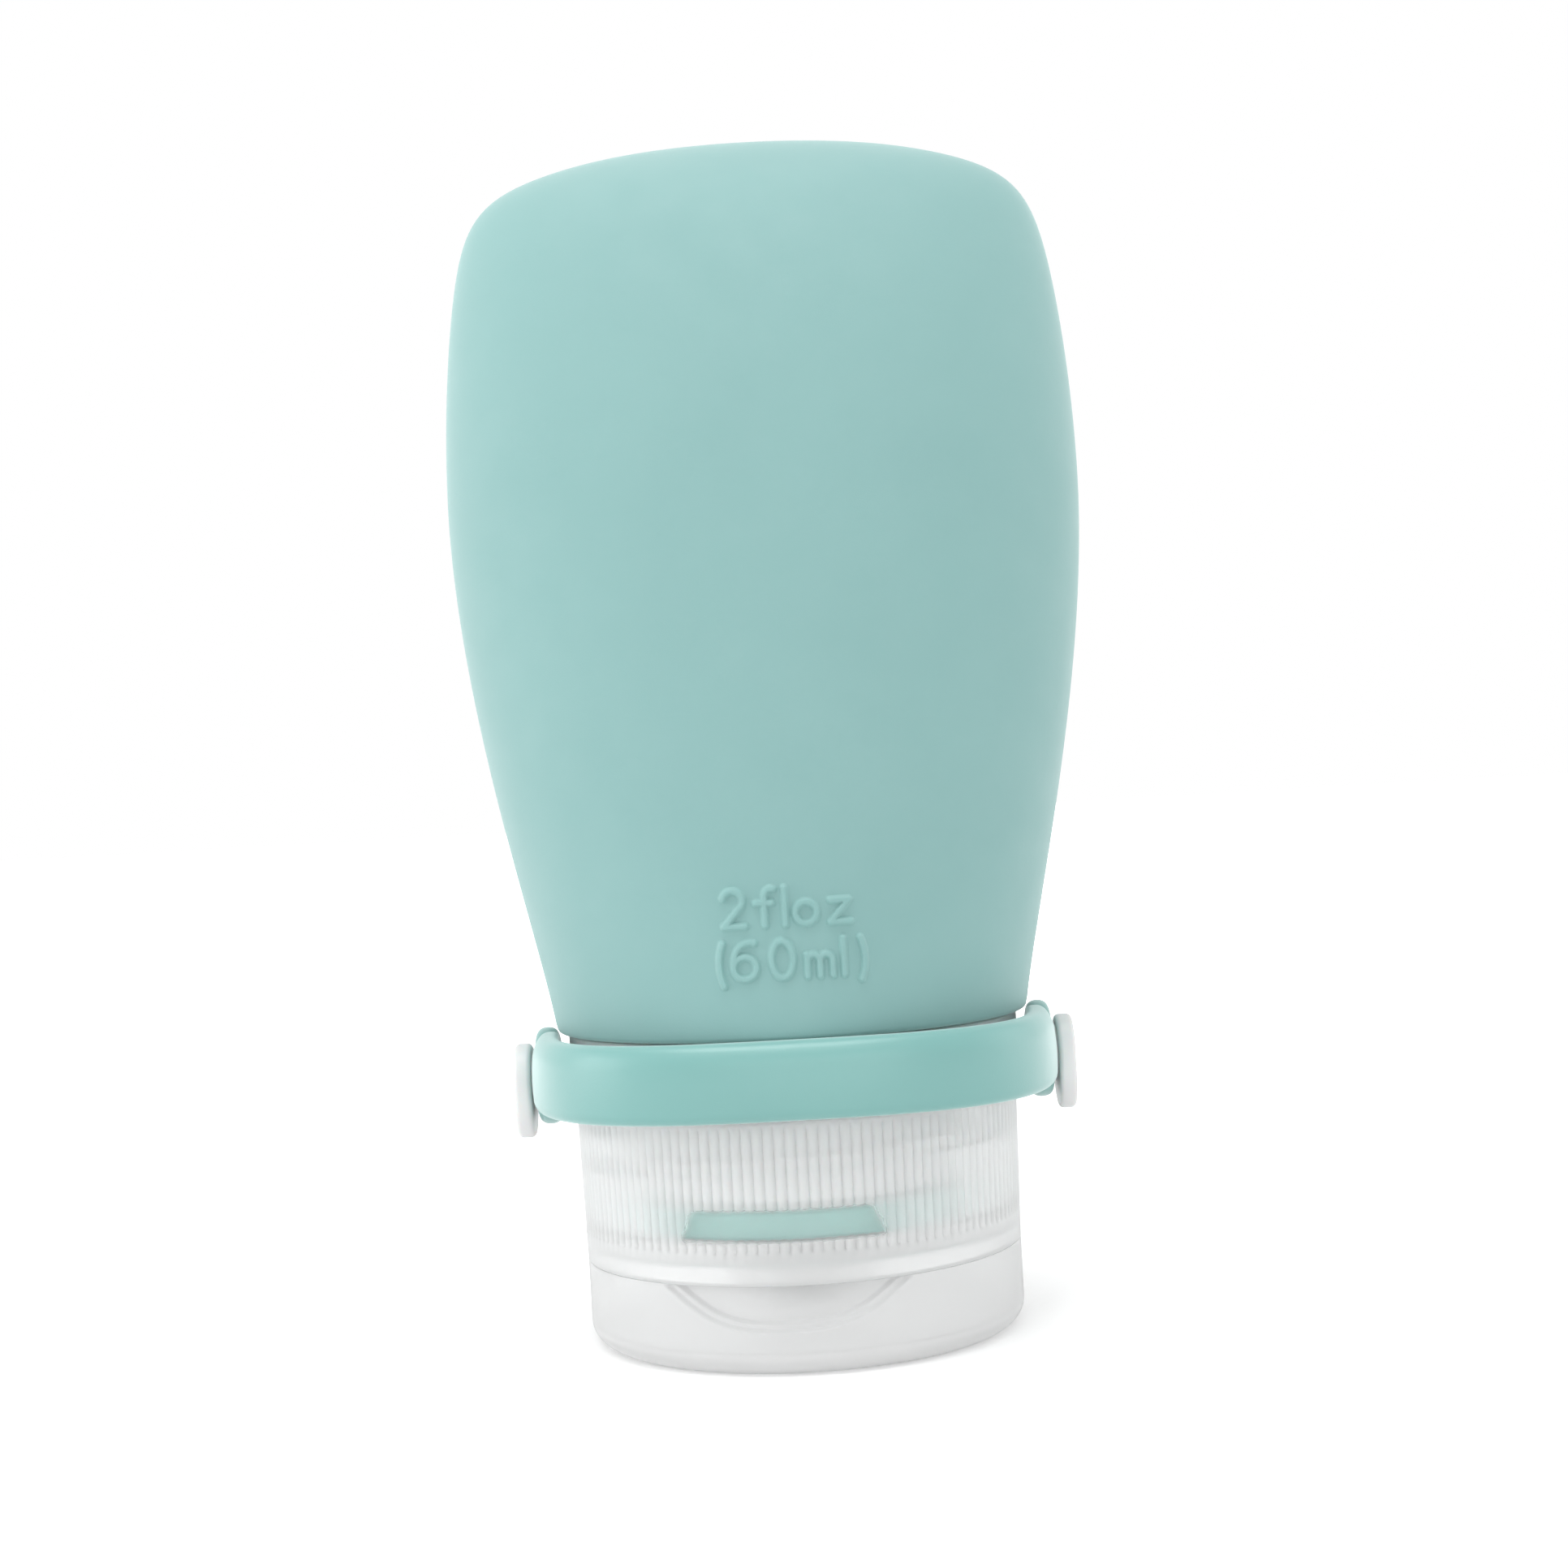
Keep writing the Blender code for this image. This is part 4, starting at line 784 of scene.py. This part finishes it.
web_rows = web_grid()
web = skin("hinge_strip", web_rows, poles=[web_rows[0].mean(axis=0), web_rows[-1].mean(axis=0)])
etch(web, np.ones(len(web.data.vertices)))
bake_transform(web)
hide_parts("hinge_web")

# %% [markdown]
# ## Building a finish
#
# Each finish is one Principled shader. What varies over the surface, such as cloudiness, roughness and
# grain, comes from noise in object coordinates. What is the same all over is set on the shader itself.

# %% Helpers for finishes
def new_finish(name, constants):
    """A Principled material with these constant sockets. Returns the material, its nodes and its shader."""
    made = bpy.data.materials.new(name)
    made.use_nodes = True
    shader = made.node_tree.nodes["Principled BSDF"]
    for socket, value in constants.items():
        shader.inputs[socket].default_value = value
    return made, made.node_tree, shader


def noise(tree, scale, detail):
    """Noise in object coordinates. Its scale is in waves per metre."""
    place = tree.nodes.new("ShaderNodeTexCoord")
    cloud = tree.nodes.new("ShaderNodeTexNoise")
    cloud.inputs["Scale"].default_value = scale
    cloud.inputs["Detail"].default_value = detail
    tree.links.new(place.outputs["Object"], cloud.inputs["Vector"])
    return cloud.outputs["Fac"]


def ranged(tree, value, low, high, start=0.3, end=0.7):
    """The value's span from start to end, stretched over low to high."""
    node = tree.nodes.new("ShaderNodeMapRange")
    for socket, number in (("From Min", start), ("From Max", end), ("To Min", low), ("To Max", high)):
        node.inputs[socket].default_value = number
    tree.links.new(value, node.inputs["Value"])
    return node.outputs["Result"]


def mixed(tree, factor, first, second):
    """Two colours mixed by a factor. Each is either a constant or another node's result."""
    node = tree.nodes.new("ShaderNodeMix")
    node.data_type = "RGBA"
    tree.links.new(factor, node.inputs["Factor"])
    for side, colour in (("A", first), ("B", second)):
        if isinstance(colour, tuple):
            node.inputs[side].default_value = (*colour, 1.0)
        else:
            tree.links.new(colour, node.inputs[side])
    return node.outputs["Result"]


def bumped(tree, height, distance, strength, below=None):
    """A bump of this height and depth in metres, laid over another one."""
    node = tree.nodes.new("ShaderNodeBump")
    node.inputs["Distance"].default_value = distance
    node.inputs["Strength"].default_value = strength
    tree.links.new(height, node.inputs["Height"])
    if below is not None:
        tree.links.new(below, node.inputs["Normal"])
    return node.outputs["Normal"]


def dress(thing, finish):
    """Gives a piece one finish and no other."""
    thing.data.materials.clear()
    thing.data.materials.append(finish)
    print(finish.name, "on", thing.name)


# %% [markdown]
# ## Mint silicone
#
# Moulded silicone is matt and slightly dusty. Light sinks in a little, and the edges look paler. So it gets
# some subsurface and sheen, a faint cloudiness of pigment, a roughness that wanders, and a very fine eroded
# grain. The strap comes from a smoother mould than the bulb, and shines a little more. The bulb's rolled
# lip gets a much paler colour, which is painted light for the light that reaches it through the frosted cap.

# %% Silicone finish
# The third colour is painted light on the rolled lip: a pale mint for the light that reaches it through the
# frosted cap.
BULB_DEEP, BULB_PALE, LIP_PAINTED_LIGHT = (0.228, 0.420, 0.408), (0.240, 0.436, 0.423), (0.40, 0.74, 0.69)
STRAP_DEEP, STRAP_PALE = (0.185, 0.410, 0.388), (0.195, 0.424, 0.400)
LIP_LIGHT_FADE = 0.001


def silicone_finish(name, deep, pale, smooth, rough, sheen):
    """Mint silicone whose pigment wanders between two colours, and its roughness between two values.

    Returns the finish, its nodes, its shader and its pigment.
    """
    made, tree, shader = new_finish(name, {
        "IOR": 1.54, "Subsurface Weight": 0.20, "Subsurface Scale": 0.0015,
        "Subsurface Radius": (0.7, 1.0, 0.95), "Sheen Weight": sheen, "Sheen Roughness": 0.45,
        "Sheen Tint": (0.86, 1.0, 0.98, 1.0)})
    pigment = mixed(tree, ranged(tree, noise(tree, 70.0, 4.0), 0.0, 1.0), deep, pale)
    tree.links.new(pigment, shader.inputs["Base Color"])
    tree.links.new(ranged(tree, noise(tree, 240.0, 5.0), smooth, rough), shader.inputs["Roughness"])
    soft = bumped(tree, noise(tree, 420.0, 3.0), 0.00003, 0.5)
    grain = bumped(tree, noise(tree, 9000.0, 2.0), 0.000012, 0.6, soft)
    tree.links.new(grain, shader.inputs["Normal"])
    return made, tree, shader, pigment


def bulb_finish():
    """The bulb's silicone, with painted light on the rolled lip: a much paler colour on all that lies below
    LIP_TOP.
    """
    made, tree, shader, pigment = silicone_finish(
        "bulb_silicone_finish", BULB_DEEP, BULB_PALE, 0.60, 0.72, 0.50)
    place = tree.nodes.new("ShaderNodeTexCoord")
    split = tree.nodes.new("ShaderNodeSeparateXYZ")
    tree.links.new(place.outputs["Object"], split.inputs["Vector"])
    # Painted light: below LIP_TOP the rolled lip takes the much paler colour, for light that reaches it
    # through the cap.
    lip = ranged(tree, split.outputs["Z"], 1.0, 0.0, LIP_TOP, LIP_TOP + LIP_LIGHT_FADE)
    tree.links.new(mixed(tree, lip, pigment, LIP_PAINTED_LIGHT), shader.inputs["Base Color"])
    return made


bulb_silicone = bulb_finish()
strap_silicone = silicone_finish("strap_silicone_finish", STRAP_DEEP, STRAP_PALE, 0.30, 0.37, 0.75)[0]
dress(body, bulb_silicone)
dress(strap, strap_silicone)

# %% [markdown]
# ## Frosted plastic
#
# Cap and lid are clear plastic from an etched mould, so light passes but blurs, and the etched skin looks
# milky. The window's part of the mould was polished, and the inside is nearly clear. The frost attribute
# says how strongly each point is etched. It raises the roughness and lowers the share of light that passes.

# %% Frosted finish
POLISHED_ROUGHNESS, FULL_FROST, LEAST_PASSING = 0.06, 1.5, 0.25


def frosted_finish():
    """Clear plastic that gets rougher and milkier with the frost attribute, under a faint sheen."""
    made, tree, shader = new_finish("frosted_plastic_finish", {
        "IOR": 1.33, "Sheen Weight": 0.2, "Sheen Roughness": 0.5})
    cloud = ranged(tree, noise(tree, 160.0, 4.0), 0.0, 1.0)
    tint = mixed(tree, cloud, (0.975, 0.980, 0.980), (0.992, 0.995, 0.995))
    tree.links.new(tint, shader.inputs["Base Color"])
    frost = tree.nodes.new("ShaderNodeAttribute")
    frost.attribute_name = "frost"
    passing = ranged(tree, frost.outputs["Fac"], 1.0, LEAST_PASSING, 0.0, FULL_FROST)
    tree.links.new(passing, shader.inputs["Transmission Weight"])
    etched = ranged(tree, noise(tree, 700.0, 4.0), 0.34, 0.44)
    rough = tree.nodes.new("ShaderNodeMix")
    tree.links.new(frost.outputs["Fac"], rough.inputs["Factor"])
    rough.inputs["A"].default_value = POLISHED_ROUGHNESS
    tree.links.new(etched, rough.inputs["B"])
    tree.links.new(rough.outputs["Result"], shader.inputs["Roughness"])
    grain = bumped(tree, noise(tree, 12000.0, 2.0), 0.000006, 0.5)
    tree.links.new(grain, shader.inputs["Normal"])
    return made


frosted = frosted_finish()
for thing in (cap, lid, web):
    dress(thing, frosted)

# %% [markdown]
# ## Milky plastic and the valve
#
# The collar and the valve's retaining ring are a satin white plastic, and the valve is a cloudy soft
# silicone. The valve and the ring keep their CAD shapes and only get these finishes.

# %% Milky and cloudy finishes
def clouded_finish(name, constants, deep, pale, smooth, rough, scales, depth):
    """A finish whose colour and roughness wander a little, under a fine grain of this depth.

    The three scales are those of the noise in the colour, in the roughness and in the grain.
    """
    made, tree, shader = new_finish(name, constants)
    colour, wear, grain = (noise(tree, scale, detail) for scale, detail in zip(scales, (3.0, 3.0, 2.0)))
    tree.links.new(mixed(tree, ranged(tree, colour, 0.0, 1.0), deep, pale), shader.inputs["Base Color"])
    tree.links.new(ranged(tree, wear, smooth, rough), shader.inputs["Roughness"])
    tree.links.new(bumped(tree, grain, depth, 0.5), shader.inputs["Normal"])
    return made


milky = clouded_finish(
    "milky_plastic_finish", {"IOR": 1.49, "Subsurface Weight": 0.15, "Subsurface Scale": 0.001},
    (0.74, 0.75, 0.75), (0.78, 0.785, 0.785), 0.34, 0.44, (300.0, 900.0, 7000.0), 0.000006)
cloudy = clouded_finish(
    "cloudy_silicone_finish", {"IOR": 1.41, "Transmission Weight": 0.35},
    (0.76, 0.77, 0.76), (0.82, 0.83, 0.82), 0.42, 0.52, (500.0, 1500.0, 6000.0), 0.00001)
dress(collar, milky)
for node, finish in (("valve_retainer", milky), ("flow_valve", cloudy)):
    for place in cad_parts[node].material_slots:
        place.material = finish
    print(finish.name, "on", node)

# %% [markdown]
# ## Floor, light and camera
#
# The bottle stands on a white floor in an even white studio. Of its four soft lamps, one is above, and the
# left one is the strongest of the other three, which models the form. The floor takes a real shadow. For
# the camera, and for what glossy and clear surfaces see, it adds just enough glow to reach white. The
# camera is level with the bottle's middle, a little rolled, as in the photograph.

# %% White world
def white_for_camera(tree, lit, seen):
    """A strength that is one value for light and another for what the eye, gloss and clear plastic see."""
    path = tree.nodes.new("ShaderNodeLightPath")
    total = path.outputs["Is Camera Ray"]
    for name in ("Is Glossy Ray", "Is Transmission Ray"):
        add = tree.nodes.new("ShaderNodeMath")
        add.operation = "MAXIMUM"
        tree.links.new(total, add.inputs[0])
        tree.links.new(path.outputs[name], add.inputs[1])
        total = add.outputs[0]
    return ranged(tree, total, lit, seen, 0.0, 1.0)


WORLD_LIT, WORLD_SEEN = 0.72, 1.0
world = bpy.data.worlds.new("white_studio")
bpy.context.scene.world = world
world.use_nodes = True
sky = world.node_tree.nodes["Background"]
sky.inputs["Color"].default_value = (1.0, 1.0, 1.0, 1.0)
world.node_tree.links.new(white_for_camera(world.node_tree, WORLD_LIT, WORLD_SEEN), sky.inputs["Strength"])
print("world strength:", WORLD_LIT, "lit,", WORLD_SEEN, "seen")

# %% White floor
FLOOR_HALF = 3.0
GLOW_NEAR, GLOW_FAR, GLOW_START, GLOW_END = 0.30, 1.0, 0.06, 0.30
floor_corners = [(x, y, 0.0) for y in (-FLOOR_HALF, FLOOR_HALF) for x in (-FLOOR_HALF, FLOOR_HALF)]
floor_mesh = bpy.data.meshes.new("studio_floor")
floor_mesh.from_pydata(floor_corners, [], [(0, 1, 3, 2)])
floor = bpy.data.objects.new("studio_floor", floor_mesh)
bpy.context.scene.collection.objects.link(floor)
floor_paint, floor_tree, floor_shader = new_finish("white_floor", {
    "Roughness": 0.9, "Specular IOR Level": 0.0})
floor_shader.inputs["Base Color"].default_value = (0.88, 0.88, 0.88, 1.0)
floor_shader.inputs["Emission Color"].default_value = (1.0, 1.0, 1.0, 1.0)
place = floor_tree.nodes.new("ShaderNodeTexCoord")
reach = floor_tree.nodes.new("ShaderNodeVectorMath")
reach.operation = "LENGTH"
floor_tree.links.new(place.outputs["Object"], reach.inputs[0])
far_glow = ranged(floor_tree, reach.outputs["Value"], GLOW_NEAR, GLOW_FAR, GLOW_START, GLOW_END)
seen = floor_tree.nodes.new("ShaderNodeMath")
seen.operation = "MULTIPLY"
floor_tree.links.new(white_for_camera(floor_tree, 0.0, 1.0), seen.inputs[0])
floor_tree.links.new(far_glow, seen.inputs[1])
floor_tree.links.new(seen.outputs[0], floor_shader.inputs["Emission Strength"])
floor_mesh.materials.append(floor_paint)
print("floor of", 2.0 * FLOOR_HALF, "m, glowing from", GLOW_NEAR, "to", GLOW_FAR, "for the camera")

# %% Soft lamps
LAMP_AIM = (0.0, 0.0, 0.05)


def soft_lamp(name, place, size, power):
    """A square area lamp that looks at the bottle."""
    light = bpy.data.lights.new(name, "AREA")
    light.shape, light.size, light.energy = "SQUARE", size, power
    lamp = bpy.data.objects.new(name, light)
    bpy.context.scene.collection.objects.link(lamp)
    lamp.location = place
    away = mathutils.Vector(place) - mathutils.Vector(LAMP_AIM)
    lamp.rotation_euler = away.to_track_quat("Z", "Y").to_euler()
    lamp.visible_camera = False
    print(name, "of", power, "W")


soft_lamp("front_softbox", (0.08, -0.60, 0.18), 0.4, 0.6)
soft_lamp("left_softbox", (-0.58, -0.12, 0.18), 0.4, 1.3)
soft_lamp("right_softbox", (0.60, 0.05, 0.18), 0.4, 0.5)
soft_lamp("top_softbox", (-0.04, -0.14, 0.62), 0.3, 1.5)
bpy.context.scene.view_settings.view_transform = "Standard"

# %% Camera
CAMERA_DISTANCE, CAMERA_LEVEL, CAMERA_OFFSET, CAMERA_ROLL = 0.200, 0.0445, 0.0004, math.radians(3.2)
PHOTO_PIXELS, PIXELS_PER_MM, SENSOR_WIDTH = 1932, 15, 36.0
FRAME_WIDTH = PHOTO_PIXELS / PIXELS_PER_MM / 1000
camera_data = bpy.data.cameras.new("photo_camera")
camera_data.sensor_width = SENSOR_WIDTH
camera_data.lens = SENSOR_WIDTH * CAMERA_DISTANCE / FRAME_WIDTH
camera_data.clip_start, camera_data.clip_end = 0.01, 20.0
camera = bpy.data.objects.new("photo_camera", camera_data)
bpy.context.scene.collection.objects.link(camera)
camera.location = (CAMERA_OFFSET, -CAMERA_DISTANCE, CAMERA_LEVEL)
camera.rotation_euler = (0.25 * FULL_TURN, CAMERA_ROLL, 0.0)
bpy.context.scene.camera = camera
print("lens in mm:", round(camera_data.lens, 1))
